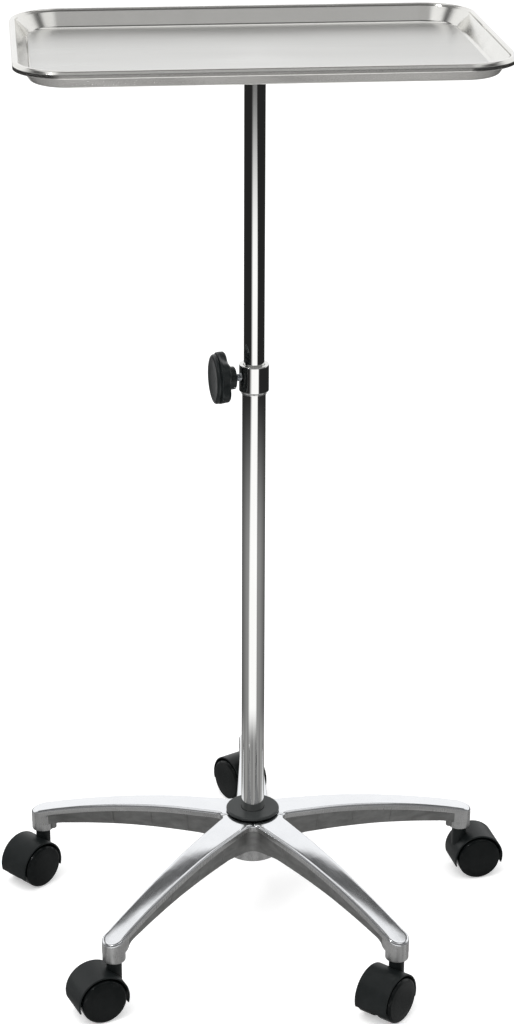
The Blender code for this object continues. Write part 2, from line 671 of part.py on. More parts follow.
# ---------------------------------------------------------------------- casters
def hood_mesh():
    """Barrel-shaped hood over the twin wheels, with its centre web and neck. Local
    axes: X along the trail from the swivel axis, Y along the axle, Z up, with the
    axle at (TRAIL, 0, 0)."""
    on_axle = Matrix.Translation((TRAIL, 0, 0)) @ Matrix.Rotation(math.radians(90), 4, "X")
    shell = prism("shell", arc(HOOD_R, -16, 195, 14) + arc(HOOD_R - HOOD_T, 195, -16, 14),
                  -HOOD_HALF, HOOD_HALF)
    web = prism("web", arc(HOOD_R - 0.0008, -14, 193, 12) + [(-0.0075, -0.0085),
                                                             (0.0075, -0.0085)],
                -WEB_HALF, WEB_HALF)
    axle_hole = rod("axle_hole", 0.0033, -0.01, 0.01, 8, 0.0)
    for mesh in (shell, web, axle_hole):
        mesh.transform(on_axle)
    neck = turned("neck", [(0, NECK_TOP), (NECK_R - 0.0006, NECK_TOP),
                           (NECK_R, NECK_TOP - 0.0006), (NECK_R, 0.0120), (0.0050, 0.0100),
                           (0, 0.0100)], 14)
    steps = [("UNION", "web", web), ("UNION", "neck", neck)]
    for side in (-1, 1):
        space = turned("wheel_space", [(0, 0.0200), (WHEEL_R + 0.0009, 0.0200),
                                       (WHEEL_R + 0.0010, 0.0), (0, 0.0)], 24)
        space.transform(Matrix.Translation((TRAIL, WHEEL_SPACE_START * side, 0))
                        @ Matrix.Rotation(math.radians(-90 * side), 4, "X"))
        steps.append(("DIFFERENCE", "wheel_space_%d" % side, space))
    swivel_bore = rod("swivel_bore", STEM_BORE_R, 0.0200, NECK_TOP + 0.002, 12, 0.0)
    steps += [("DIFFERENCE", "swivel_bore", swivel_bore), ("DIFFERENCE", "axle_hole", axle_hole)]

    hood = helper("hood_shell", shell)
    tools = []
    for operation, name, mesh in steps:
        tools.append(helper(name, mesh))
        boolean(hood, operation, tools[-1], name)
    made = frozen(hood, "caster_hood")
    for tool in tools:
        bpy.data.objects.remove(tool, do_unlink=True)
    return made


def wheel_mesh():
    """One wheel of a pair, turned about +Z, its closed face outwards."""
    return turned("caster_wheel", [(0, 0.0228), (0.0218, 0.0225), (WHEEL_R, 0.0199),
                                   (WHEEL_R, 0.0044), (0.0034, 0.0040), (0.0034, 0.0180),
                                   (0, 0.0180)], 20)


def stem_mesh():
    """Swivel stem; its heights are counted from the floor."""
    return turned("stem", [(0, 0.0814), (0.0042, 0.0814), (0.0055, 0.0800), (0.0055, 0.0460),
                           (0.0047, 0.0453), (0, 0.0453)], 10)


def build_casters():
    """Five casters sharing their meshes, each turned to its own trail azimuth."""
    hood, wheel, stem = hood_mesh(), wheel_mesh(), stem_mesh()
    axle = rod("axle", AXLE_R, -AXLE_HALF, AXLE_HALF, 8, 0.0004)
    on_axle = (TRAIL, 0, 0)
    for word, leg, trail in CASTERS:
        name = "caster_" + word
        swivel = empty(name + "_swivel", leg_point(leg, BOSS_STATION, FLOOR + WHEEL_R),
                       (0, 0, math.radians(trail)))
        add(name + "_stem", stem, "zinc", at=leg_point(leg, BOSS_STATION, FLOOR))
        add(name + "_hood", hood, "black_plastic", parent=swivel)
        add(name + "_axle", axle, "zinc", at=on_axle, turn=(math.radians(90), 0, 0),
            parent=swivel)
        for which, side in (("left", 1), ("right", -1)):
            add(name + "_wheel_" + which, wheel, "black_plastic", at=on_axle,
                turn=(math.radians(-90 * side), 0, 0), parent=swivel)


build_base()
build_column_fixing()
build_lower_tube()
build_collar()
build_clamp()
build_upper_tube()
build_socket()
build_tray_support()
build_tray()
build_casters()
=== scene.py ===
"""The finished looks of a wheeled instrument cart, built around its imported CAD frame.

Metres, +Z up, with the origin on the column axis at the underside of the base hub. A
five-legged cast star stands on casters and carries a telescoping chrome column with a clamp
knob; a rectangular tray sits on top. The camera looks roughly along +Y.
"""
import json
from math import atan2, cos, hypot, pi, radians, sin, sqrt, tan
from types import SimpleNamespace

import bmesh
import bpy
from mathutils import Matrix, Vector

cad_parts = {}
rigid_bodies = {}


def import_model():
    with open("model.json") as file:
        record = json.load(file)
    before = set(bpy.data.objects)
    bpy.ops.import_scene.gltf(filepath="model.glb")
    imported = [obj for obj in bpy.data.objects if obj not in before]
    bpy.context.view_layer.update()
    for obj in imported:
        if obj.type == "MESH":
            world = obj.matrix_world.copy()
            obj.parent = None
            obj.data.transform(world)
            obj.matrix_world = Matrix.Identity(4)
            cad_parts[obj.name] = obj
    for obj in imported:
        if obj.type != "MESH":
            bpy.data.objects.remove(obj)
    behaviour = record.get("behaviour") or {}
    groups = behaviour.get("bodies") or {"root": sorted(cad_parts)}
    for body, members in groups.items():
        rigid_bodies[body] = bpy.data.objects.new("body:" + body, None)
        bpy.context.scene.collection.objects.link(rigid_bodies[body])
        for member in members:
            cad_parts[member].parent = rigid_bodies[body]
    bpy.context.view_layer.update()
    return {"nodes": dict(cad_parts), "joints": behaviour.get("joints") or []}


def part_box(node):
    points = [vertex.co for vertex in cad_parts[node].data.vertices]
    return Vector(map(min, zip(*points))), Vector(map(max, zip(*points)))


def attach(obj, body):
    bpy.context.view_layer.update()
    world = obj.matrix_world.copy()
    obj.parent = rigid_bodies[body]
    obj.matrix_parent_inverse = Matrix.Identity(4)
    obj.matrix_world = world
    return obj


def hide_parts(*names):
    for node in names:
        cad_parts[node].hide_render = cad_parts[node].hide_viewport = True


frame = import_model()
for thing in list(bpy.data.objects):
    if thing.type in ("CAMERA", "LIGHT") or thing.name == "Cube":
        bpy.data.objects.remove(thing, do_unlink=True)
JOINT = {joint["name"]: joint for joint in frame["joints"]}


def levels(node):
    """The lowest and highest z of a CAD piece."""
    return [corner.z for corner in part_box(node)]


def centre_of(node):
    lowest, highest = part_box(node)
    return (lowest + highest) / 2


# ----------------------------------------------------------------- shader graphs
class Graph:
    """A short way to write shader nodes. An input is given a number or another node's socket."""

    def __init__(self, tree):
        self.tree = tree

    def put(self, socket, value):
        if isinstance(value, bpy.types.NodeSocket):
            self.tree.links.new(value, socket)
        else:
            socket.default_value = value

    def node(self, kind, inputs=None, **settings):
        made = self.tree.nodes.new("ShaderNode" + kind)
        for key, value in settings.items():
            setattr(made, key, value)
        for key, value in (inputs or {}).items():
            self.put(made.inputs[key], value)
        return made

    def calc(self, operation, first, second=0.0, *rest):
        values = dict(enumerate((first, second, *rest)))
        return self.node("Math", values, operation=operation).outputs[0]

    def add(self, first, second):
        return self.calc("ADD", first, second)

    def times(self, first, second):
        return self.calc("MULTIPLY", first, second)

    def most(self, first, second):
        return self.calc("MAXIMUM", first, second)

    def length(self, x, y):
        return self.calc("SQRT", self.add(self.times(x, x), self.times(y, y)))

    def spread(self, value, span, to=(0.0, 1.0), kind="LINEAR"):
        """The value carried from the range span to the range to."""
        inputs = {"Value": value, "From Min": span[0], "From Max": span[1],
                  "To Min": to[0], "To Max": to[1]}
        return self.node("MapRange", inputs, interpolation_type=kind).outputs[0]

    def smooth(self, value, span, to=(0.0, 1.0)):
        return self.spread(value, span, to, "SMOOTHSTEP")

    def sweep(self, angle, span, to=(0.0, 1.0)):
        """A smooth step of an angle, with span in degrees."""
        return self.smooth(angle, [radians(end) for end in span], to)

    def colour(self, red, green, blue):
        return self.node("CombineColor", {0: red, 1: green, 2: blue}).outputs[0]

    def mix(self, factor, first, second):
        return self.node("MixShader", {0: factor, 1: first, 2: second}).outputs[0]


class Surface(Graph):
    """A procedural material on the Principled shader, in object coordinates."""

    def __init__(self, name, colour, rough, metal):
        self.mat = bpy.data.materials.new(name)
        self.mat.use_nodes = True
        self.mat.diffuse_color = (*colour, 1)
        super().__init__(self.mat.node_tree)
        self.shader = self.tree.nodes["Principled BSDF"]
        self.set("Base Color", (*colour, 1))
        self.set("Roughness", rough)
        self.set("Metallic", metal)
        self.place = self.node("TexCoord").outputs["Object"]
        self.normal = None

    def set(self, name, value):
        self.put(self.shader.inputs[name], value)

    def stretch(self, scale):
        return self.node("Mapping", {"Vector": self.place, "Scale": scale}).outputs[0]

    def noise(self, source, detail, scale=1.0):
        inputs = {"Vector": source, "Scale": scale, "Detail": detail, "Roughness": 0.6}
        return self.node("TexNoise", inputs).outputs["Fac"]

    def tint(self, factor, low, high):
        inputs = {"Factor": factor, "A": (*low, 1), "B": (*high, 1)}
        return self.node("Mix", inputs, data_type="RGBA").outputs["Result"]

    def bump(self, height, distance, strength):
        """Adds a bump on top of the bumps already there."""
        inputs = {"Strength": strength, "Distance": distance, "Height": height}
        if self.normal is not None:
            inputs["Normal"] = self.normal
        self.normal = self.node("Bump", inputs).outputs[0]
        self.set("Normal", self.normal)

    def polar(self, around, along, up):
        """Angle about Z, distance from Z and height, each scaled."""
        x, y, z = self.node("SeparateXYZ", {0: self.place}).outputs
        parts = {0: self.times(self.calc("ARCTAN2", y, x), around),
                 1: self.times(self.length(x, y), along),
                 2: self.times(z, up)}
        return self.node("CombineXYZ", parts).outputs[0]


# --------------------------------------------------------------------- materials
def polished_aluminium():
    mat = Surface("polished_aluminium", colour=(0.86, 0.87, 0.885), rough=0.12, metal=1.0)
    buff = mat.noise(mat.polar(around=70.0, along=16.0, up=260.0), detail=5.0)
    cloud = mat.noise(mat.place, scale=38.0, detail=3.0)
    mat.set("Roughness", mat.add(mat.spread(buff, span=(0.3, 0.7), to=(0.06, 0.11)),
                                 mat.spread(cloud, span=(0.35, 0.7), to=(0.0, 0.04))))
    mat.set("Base Color", mat.tint(cloud, low=(0.88, 0.89, 0.905), high=(0.81, 0.82, 0.84)))
    mat.bump(buff, distance=0.00002, strength=0.5)
    mat.bump(mat.noise(mat.place, scale=55.0, detail=2.0), distance=0.00010, strength=0.35)
    return mat.mat


def cast_aluminium():
    # dark base: as-cast grey, and also painted shade for the walls below the lip
    mat = Surface("cast_aluminium", colour=(0.34, 0.34, 0.335), rough=0.46, metal=1.0)
    patch = mat.noise(mat.stretch((1, 1, 2.2)), scale=60.0, detail=5.0)
    grain = mat.noise(mat.place, scale=900.0, detail=3.0)
    mat.set("Base Color", mat.tint(mat.spread(patch, span=(0.3, 0.75)),
                                   low=(0.40, 0.40, 0.395), high=(0.27, 0.27, 0.265)))
    mat.set("Roughness", mat.spread(patch, span=(0.3, 0.7), to=(0.40, 0.54)))
    mat.bump(grain, distance=0.00010, strength=0.5)
    mat.bump(mat.noise(mat.place, scale=160.0, detail=3.0), distance=0.0003, strength=0.35)
    return mat.mat


def satin_cast_lit():
    """Lips, bosses and hub: cast faces brushed smooth but not polished, their lighter base also
    painted light against the darker cast walls.
    """
    mat = Surface("satin_cast_lit_aluminium", colour=(0.66, 0.66, 0.66), rough=0.30, metal=1.0)
    patch = mat.noise(mat.stretch((1, 1, 2.2)), scale=60.0, detail=4.0)
    brush = mat.noise(mat.stretch((500, 500, 40)), detail=3.0)
    mat.set("Base Color", mat.tint(mat.spread(patch, span=(0.3, 0.75)),
                                   low=(0.74, 0.74, 0.735), high=(0.60, 0.60, 0.595)))
    mat.set("Roughness", mat.spread(brush, span=(0.3, 0.7), to=(0.24, 0.34)))
    mat.bump(brush, distance=0.00004, strength=0.5)
    mat.bump(mat.noise(mat.place, scale=160.0, detail=3.0), distance=0.0002, strength=0.3)
    return mat.mat


def chrome():
    mat = Surface("chrome_plate", colour=(0.80, 0.80, 0.79), rough=0.045, metal=1.0)
    haze = mat.noise(mat.stretch((90, 90, 7)), detail=4.0)
    rub = mat.noise(mat.polar(around=4.0, along=1.0, up=1500.0), detail=2.0)
    mat.set("Roughness", mat.add(mat.spread(haze, span=(0.35, 0.75), to=(0.03, 0.07)),
                                 mat.spread(rub, span=(0.55, 0.8), to=(0.0, 0.05))))
    mat.set("Base Color", mat.tint(haze, low=(0.83, 0.83, 0.82), high=(0.76, 0.76, 0.74)))
    mat.bump(rub, distance=0.000004, strength=0.4)
    return mat.mat


def satin_stainless():
    """Sheet with its grain drawn out along X."""
    mat = Surface("satin_stainless", colour=(0.62, 0.62, 0.61), rough=0.29, metal=0.76)
    grain = mat.noise(mat.stretch((7, 1100, 1100)), detail=3.0)
    broad = mat.noise(mat.stretch((3, 12, 10)), detail=4.0)
    mat.set("Roughness", mat.add(mat.spread(grain, span=(0.3, 0.7), to=(0.26, 0.31)),
                                 mat.spread(broad, span=(0.35, 0.7), to=(0.0, 0.05))))
    grain_share = 0.35
    blend = mat.calc("MULTIPLY_ADD", grain, grain_share, mat.times(broad, 1 - grain_share))
    mat.set("Base Color", mat.tint(blend, low=(0.675, 0.672, 0.655), high=(0.60, 0.597, 0.58)))
    mat.set("Anisotropic", 0.3)
    mat.bump(grain, distance=0.000006, strength=0.35)
    mat.bump(mat.noise(mat.place, scale=9.0, detail=2.0), distance=0.0006, strength=0.06)
    return mat.mat


def polished_stainless():
    """The pressed wall and rolled rim of the tray, buffed brighter than the floor."""
    mat = Surface("polished_stainless", colour=(0.70, 0.70, 0.685), rough=0.13, metal=0.97)
    buff = mat.noise(mat.polar(around=60.0, along=500.0, up=900.0), detail=4.0)
    cloud = mat.noise(mat.place, scale=26.0, detail=3.0)
    mat.set("Roughness", mat.add(mat.spread(buff, span=(0.3, 0.7), to=(0.10, 0.16)),
                                 mat.spread(cloud, span=(0.35, 0.7), to=(0.0, 0.05))))
    # less metallic where the surface faces down
    facing = mat.node("SeparateXYZ", {0: mat.node("NewGeometry").outputs["Normal"]})
    mat.set("Metallic", mat.spread(facing.outputs[2], span=(-0.15, -0.45), to=(0.97, 0.80)))
    mat.set("Base Color", mat.tint(cloud, low=(0.82, 0.81, 0.78), high=(0.73, 0.72, 0.69)))
    mat.bump(buff, distance=0.00001, strength=0.4)
    return mat.mat


def zinc():
    mat = Surface("zinc_plate", colour=(0.60, 0.62, 0.65), rough=0.30, metal=1.0)
    spangle = mat.noise(mat.place, scale=190.0, detail=4.0)
    mat.set("Roughness", mat.spread(spangle, span=(0.3, 0.7), to=(0.22, 0.40)))
    mat.set("Base Color", mat.tint(spangle, low=(0.66, 0.68, 0.71), high=(0.50, 0.52, 0.55)))
    mat.bump(mat.noise(mat.place, scale=900.0, detail=3.0), distance=0.00003, strength=0.4)
    return mat.mat


def moulded(name, dark, light, rough, grain=1400.0, depth=0.00005, shine=0.5):
    """A moulded plastic or rubber with a fine grain."""
    mat = Surface(name, colour=dark, rough=rough, metal=0.0)
    mat.set("Specular IOR Level", shine)
    cell = mat.noise(mat.place, scale=grain, detail=2.0)
    cloud = mat.noise(mat.place, scale=70.0, detail=4.0)
    mat.set("Base Color", mat.tint(mat.spread(cloud, span=(0.35, 0.75)), low=dark, high=light))
    mat.set("Roughness", mat.add(
        mat.spread(cloud, span=(0.3, 0.7), to=(rough - 0.04, rough + 0.04)),
        mat.spread(cell, span=(0.45, 0.75), to=(0.0, 0.06))))
    mat.bump(cell, distance=depth, strength=0.5)
    return mat.mat


def cap_plastic():
    """Black plastic with fine concentric turning rings."""
    mat = Surface("black_cap", colour=(0.038, 0.041, 0.041), rough=0.36, metal=0.0)
    mat.set("Specular IOR Level", 0.22)
    rings = mat.noise(mat.polar(around=2.0, along=2600.0, up=60.0), detail=2.0)
    cloud = mat.noise(mat.place, scale=120.0, detail=4.0)
    mat.set("Base Color", mat.tint(cloud, low=(0.032, 0.035, 0.035), high=(0.050, 0.054, 0.054)))
    mat.set("Roughness", mat.add(mat.spread(rings, span=(0.3, 0.7), to=(0.26, 0.36)),
                                 mat.spread(cloud, span=(0.4, 0.7), to=(0.0, 0.08))))
    mat.bump(rings, distance=0.00002, strength=0.4)
    return mat.mat


def wheel_plastic():
    mat = Surface("wheel_plastic", colour=(0.005, 0.006, 0.006), rough=0.20, metal=0.0)
    mat.set("Specular IOR Level", 0.22)
    cloud = mat.noise(mat.place, scale=90.0, detail=4.0)
    scuff = mat.noise(mat.polar(around=3.0, along=500.0, up=700.0), detail=4.0)
    mat.set("Base Color", mat.tint(mat.spread(cloud, span=(0.4, 0.8)),
                                   low=(0.0032, 0.0044, 0.0044), high=(0.007, 0.008, 0.008)))
    mat.set("Roughness", mat.add(mat.spread(cloud, span=(0.3, 0.7), to=(0.15, 0.20)),
                                 mat.spread(scuff, span=(0.55, 0.8), to=(0.0, 0.10))))
    mat.bump(mat.noise(mat.place, scale=700.0, detail=2.0), distance=0.00002, strength=0.35)
    return mat.mat


# finish: (material, slot it belongs to)
FINISH = {
    "polished": (polished_aluminium(), "cast_aluminium"),
    "cast_and_shade": (cast_aluminium(), "cast_aluminium"),
    "satin_lit": (satin_cast_lit(), "cast_aluminium"),
    "chrome": (chrome(), "chrome_tube"),
    "stainless": (satin_stainless(), "stainless_tray"),
    "bright": (polished_stainless(), "stainless_tray"),
    "zinc": (zinc(), "zinc_hardware"),
    "cap": (cap_plastic(), "black_cap"),
    "wheel": (wheel_plastic(), "caster_wheel"),
    "hood": (moulded("hood_nylon", dark=(0.0075, 0.0095, 0.0096), light=(0.013, 0.0155, 0.0158),
                     rough=0.38, shine=0.26), "caster_hood"),
    "knob": (moulded("knob_plastic", dark=(0.0080, 0.0105, 0.0108),
                     light=(0.015, 0.0185, 0.0190), rough=0.34, shine=0.30), "black_knob"),
    "nylon": (moulded("white_nylon", dark=(0.68, 0.67, 0.62), light=(0.76, 0.75, 0.71),
                      rough=0.45), "white_nylon"),
    "rubber": (moulded("grommet_rubber", dark=(0.020, 0.020, 0.020), light=(0.040, 0.040, 0.040),
                       rough=0.70, grain=500.0, depth=0.0001), "black_rubber"),
}


# ----------------------------------------------------------------- mesh helpers
def limit(value):
    return min(1.0, max(0.0, value))


def move(x=0.0, y=0.0, z=0.0):
    return Matrix.Translation((x, y, z))


def turn(angle, axis):
    return Matrix.Rotation(angle, 4, axis)


def on_circle(radius, angle):
    return radius * cos(angle), radius * sin(angle)


def circle(radius, z, steps):
    return [(*on_circle(radius, 2 * pi * k / steps), z) for k in range(steps)]


def arc(radius, start, stop, steps):
    return [on_circle(radius, start + (stop - start) * k / steps) for k in range(steps + 1)]


def hexagon(radius):
    return [on_circle(radius, pi / 3 * k) for k in range(6)]


def rounded(points, closed=False, seg=5):
    """The outline with each corner (x, y, radius) turned into an arc; (x, y) stays sharp."""
    out = []
    count = len(points)
    for i, (x, y, *given) in enumerate(points):
        if not given or (not closed and i in (0, count - 1)):
            out.append((x, y))
            continue
        radius = given[0]
        corner = Vector((x, y))
        before = (Vector(points[i - 1][:2]) - corner).normalized()
        after = (Vector(points[(i + 1) % count][:2]) - corner).normalized()
        angle = before.angle(after)
        centre = corner + (before + after).normalized() * (radius / sin(angle / 2))
        start = corner + before * (radius / tan(angle / 2)) - centre
        stop = corner + after * (radius / tan(angle / 2)) - centre
        way = 1 if start.x * stop.y - start.y * stop.x > 0 else -1
        for k in range(seg + 1):
            swing = way * (pi - angle) * k / seg
            out.append((centre.x + start.x * cos(swing) - start.y * sin(swing),
                        centre.y + start.x * sin(swing) + start.y * cos(swing)))
    return out


def close(draft, name):
    """Cleans a bmesh and turns it into a mesh."""
    bmesh.ops.remove_doubles(draft, verts=draft.verts, dist=1e-6)
    bmesh.ops.dissolve_degenerate(draft, edges=draft.edges, dist=1e-7)
    bmesh.ops.recalc_face_normals(draft, faces=draft.faces)
    mesh = bpy.data.meshes.new(name)
    draft.to_mesh(mesh)
    draft.free()
    return mesh


def skin(rings, name, loop=False, caps=False):
    """Faces between successive rings of points; a ring of one point is an apex."""
    draft = bmesh.new()
    made = [[draft.verts.new(point) for point in ring] for ring in rings]
    pairs = list(zip(made, made[1:])) + ([(made[-1], made[0])] if loop else [])
    for one, two in pairs:
        count = max(len(one), len(two))
        for k in range(count):
            j = (k + 1) % count
            corners = (one[k % len(one)], one[j % len(one)],
                       two[j % len(two)], two[k % len(two)])
            face = list(dict.fromkeys(corners))
            if len(face) > 2:
                draft.faces.new(face)
    if caps:
        draft.faces.new(made[0])
        draft.faces.new(made[-1])
    return close(draft, name)


def lathe(profile, steps, seg=5, closed=False):
    """A profile of (radius, z[, corner radius]) turned about Z."""
    rings = [[(0, 0, z)] if radius < 1e-7 else circle(radius, z, steps)
             for radius, z in rounded(profile, closed, seg)]
    return skin(rings, "turned", loop=closed)


def rod(radius, top, bottom, steps):
    return lathe([(0, top), (radius, top), (radius, bottom), (0, bottom)], steps)


def drawn(outline, bottom, top, edge=0.0):
    """A flat outline drawn from bottom to top, its end edges rounded by edge."""
    draft = bmesh.new()
    face = draft.faces.new([draft.verts.new((x, y, bottom)) for x, y in outline])
    raised = bmesh.ops.extrude_face_region(draft, geom=[face])["geom"]
    bmesh.ops.translate(draft, vec=(0, 0, top - bottom),
                        verts=[item for item in raised if isinstance(item, bmesh.types.BMVert)])
    bmesh.ops.recalc_face_normals(draft, faces=draft.faces)
    if edge > 0:
        rims = [e for e in draft.edges if abs(e.verts[0].co.z - e.verts[1].co.z) < 1e-9]
        bmesh.ops.bevel(draft, geom=rims, offset=edge, segments=2, affect="EDGES", profile=0.5)
    return close(draft, "prism")


def thread(radius, start, end, pitch, depth, name):
    """A shank with its screw thread cut as a real helix, fading out at both ends."""
    steps = 24
    rows = int((end - start) / pitch * 6)
    root = radius - depth
    rings = [[(0, 0, start)], circle(root, start, steps)]
    for i in range(1, rows):
        z = start + (end - start) * i / rows
        fade = min(1.0, (z - start) / pitch, (end - z) / pitch)
        ring = []
        for k in range(steps):
            phase = ((z - start) / pitch - k / steps) % 1.0
            lift = 1 - abs(2 * phase - 1)
            painted_flank = radius - depth * (1 - min(1.0, lift * 1.25) * fade)
            ring.append((*on_circle(painted_flank, 2 * pi * k / steps), z))
        rings.append(ring)
    rings += [circle(root, end, steps), [(0, 0, end)]]
    return skin(rings, name)


def helper(mesh, home, place=Matrix()):
    """A temporary object in the collection home."""
    obj = bpy.data.objects.new("helper", mesh)
    home.objects.link(obj)
    obj.matrix_world = place
    return obj


def carve(mesh, steps, name):
    """The mesh with Booleans applied in order: (kind, a mesh or a list of (mesh, matrix))."""
    scene_home = bpy.context.scene.collection
    obj = helper(mesh, scene_home)
    used, groups = [], []
    for kind, operand in steps:
        cut = obj.modifiers.new("cut", "BOOLEAN")
        if isinstance(operand, list):
            group = bpy.data.collections.new("group")
            scene_home.children.link(group)
            groups.append(group)
            used += [helper(part, group, place) for part, place in operand]
            cut.operand_type = "COLLECTION"
            cut.collection = group
        else:
            used.append(helper(operand, scene_home))
            cut.object = used[-1]
        cut.operation = kind
        cut.solver = "EXACT"
    bpy.context.view_layer.update()
    out = bpy.data.meshes.new_from_object(
        obj.evaluated_get(bpy.context.evaluated_depsgraph_get()))
    out.name = name
    for spent in used + [obj]:
        bpy.data.objects.remove(spent, do_unlink=True)
    for group in groups:
        bpy.data.collections.remove(group)
    out.materials.clear()
    return out


def shade(mesh, sharp=32.0):
    """Smooth shading with edges sharper than the angle in degrees kept crisp."""
    mesh.shade_smooth()
    mesh.set_sharp_from_angle(angle=radians(sharp))


def piece(node, mesh, finish, body, place=Matrix(), sharp=32.0, extra=(), name=None):
    """The look of one CAD node, riding on a body; extra finishes take the next indices."""
    obj = bpy.data.objects.new(name or node + "_look", mesh)
    bpy.context.scene.collection.objects.link(obj)
    if not mesh.materials:
        for key in (finish, *extra):
            mesh.materials.append(FINISH[key][0])
    shade(mesh, sharp)
    obj.matrix_world = place
    even = obj.modifiers.new("even_normals", "WEIGHTED_NORMAL")
    even.keep_sharp = True
    even.weight = 90
    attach(obj, body)
    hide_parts(node)
    return obj


# -------------------------------------------------------------------- star base
# A leg lies along its own X axis: reach is the distance from the column axis, off the
# distance sideways. Leg heights are given with z = 0 of the model at DATUM.
HUB_HEIGHT = -levels("caster_back_wheel_left")[0]  # hub underside above the floor
DATUM = 0.0740
BOSS_AT = JOINT["caster_back_swivel"]["pos_m"]
BOSS_REACH = hypot(BOSS_AT[0], BOSS_AT[1])
FIRST_LEG = atan2(BOSS_AT[1], BOSS_AT[0])
LEG_STEP = 72  # degrees between legs
SPLIT = radians(36)  # from a leg's middle to the line it shares with the next
SPLIT_WAY = Vector((cos(SPLIT), sin(SPLIT)))
BOSS_R = 0.0124
BOSS_HEIGHT = 0.0590  # underside of the boss
LEG_END_R = 0.0126
HALF_ROOT = 0.0178
HALF_TIP = 0.0120
TAPER_START, TAPER_RUN, TAPER_POWER = 0.030, 0.190, 1.6
NOTCH_R = 0.0095  # rounding between neighbouring legs
EDGE_R = 0.0030  # rounding of the top edge
CROWN = 0.0002  # rise of the leg's middle above its edges
LIP = 0.0052  # height of the lip below the rounded edge
RECESS = 0.0014  # step inwards below the lip
BATTER = 0.0050  # lean inwards of the wall from lip to foot
FOOT_TUCK = 0.0004
HUB_R = 0.0303
HUB_TOP = 0.1150 - DATUM
HUB_BORE_R = 0.0130
STEM_BORE_R = 0.0058
# (reach, height)
LEG_TOP = [(0.0, 0.1237), (0.036, 0.1237), (0.056, 0.1226), (0.095, 0.1197), (0.141, 0.1134),
           (0.187, 0.1044), (0.236, 0.0920), (0.2548, 0.0862), (0.270, 0.0816)]
LEG_BOTTOM = [(0.0, 0.0905), (0.056, 0.0895), (0.095, 0.0881), (0.141, 0.0847), (0.187, 0.0787),
              (0.236, 0.0706), (0.2548, 0.0682), (0.270, 0.0665)]
RIBS = (0.0740, 0.1180, 0.1650)  # reach of the ribs under a leg
# shallow dent in the wall beside each rib: (offset along the leg, depth)
RIB_DENT = [(-0.0016, 0.0), (-0.0009, 0.0005), (0.0, 0.0008), (0.0009, 0.0005), (0.0016, 0.0)]
ARC_STEPS, LEG_STEPS, TIP_STEPS = 10, 44, 14
# places across half a leg: 0 is the middle, 1 where the edge rounding starts, 2 the edge
TOP_COLUMNS = [0.0, 0.2, 0.4, 0.6, 0.8] + [1 + sin(pi / 2 * k / 6) for k in range(7)]
UNDER_COLUMNS = (0.0, 0.5, 1.0, 1.5, 2.0)
WALL_SHARES = (0.0, 0.06, 0.12, 0.3, 0.5, 0.7, 0.9, 0.97, 1.0)  # from lip down to foot


def curve(points, x):
    """The monotone cubic through the points, at x."""
    xs, ys = zip(*points)
    slopes = [(ys[i + 1] - ys[i]) / (xs[i + 1] - xs[i]) for i in range(len(xs) - 1)]
    middle = [0.0 if one * two <= 0 else 2 * one * two / (one + two)
              for one, two in zip(slopes, slopes[1:])]
    tangents = [slopes[0], *middle, slopes[-1]]
    x = min(max(x, xs[0]), xs[-1])
    i = max(k for k in range(len(xs) - 1) if xs[k] <= x)
    width = xs[i + 1] - xs[i]
    t = (x - xs[i]) / width
    return ((2 * t ** 3 - 3 * t ** 2 + 1) * ys[i] + (t ** 3 - 2 * t ** 2 + t) * width * tangents[i]
            + (3 * t ** 2 - 2 * t ** 3) * ys[i + 1]
            + (t ** 3 - t ** 2) * width * tangents[i + 1])


def half_width(reach):
    fall = max(0.0, 1 - max(0.0, reach - TAPER_START) / TAPER_RUN) ** TAPER_POWER
    return HALF_TIP + (HALF_ROOT - HALF_TIP) * fall


def notch():
    """Where the rounding between legs touches them: its centre's distance from the column,
    the reach where it meets the leg's side and the reach where it crosses the split line."""
    stations = [0.02 + 0.0001 * k for k in range(500)]

    def clearance(distance):
        x, y = on_circle(distance, SPLIT)
        return min((hypot(reach - x, half_width(reach) - y), reach) for reach in stations)

    near, far = 0.03, 0.08
    for _ in range(40):
        middle = (near + far) / 2
        if clearance(middle)[0] < NOTCH_R:
            near = middle
        else:
            far = middle
    return far, clearance(far)[1], (far - NOTCH_R) * cos(SPLIT)


NOTCH_DISTANCE, NOTCH_END, NOTCH_START = notch()
NOTCH_AT = Vector(on_circle(NOTCH_DISTANCE, SPLIT))


def leg_stations():
    """Stations along a leg's outline: (reach, half width, outward normal or None, dent)."""
    out = [(reach, reach * tan(SPLIT), None, 0.0)
           for reach in (0.0, 0.008, 0.0150, 0.0195, 0.0225) if reach < NOTCH_START - 0.001]
    first = atan2(NOTCH_START * tan(SPLIT) - NOTCH_AT.y, NOTCH_START - NOTCH_AT.x) % (2 * pi)
    last = atan2(half_width(NOTCH_END) - NOTCH_AT.y, NOTCH_END - NOTCH_AT.x) % (2 * pi)
    for k in range(ARC_STEPS + 1):
        angle = first + (last - first) * k / ARC_STEPS
        normal = Vector((-cos(angle), -sin(angle)))
        point = NOTCH_AT - normal * NOTCH_R
        out.append((point.x, point.y, normal, 0.0))

    end = BOSS_REACH - 0.006
    sides = [(NOTCH_END + (end - NOTCH_END) * (k / LEG_STEPS) ** 1.1, 0.0)
             for k in range(1, LEG_STEPS + 1)]
    sides = [side for side in sides if all(abs(side[0] - rib) > 0.0022 for rib in RIBS)]
    sides += [(rib + offset, dent) for rib in RIBS for offset, dent in RIB_DENT]
    for reach, dent in sorted(sides):
        slope = (half_width(reach + 1e-4) - half_width(reach - 1e-4)) / 2e-4
        out.append((reach, half_width(reach), Vector((-slope, 1)).normalized(), dent))

    for k in range(TIP_STEPS + 1):
        angle = pi / 2 * (1 - k / TIP_STEPS)
        half = LEG_END_R * sin(angle) if k < TIP_STEPS else 0.0
        out.append((BOSS_REACH + LEG_END_R * cos(angle), half,
                    Vector((cos(angle), sin(angle))), 0.0))
    return out


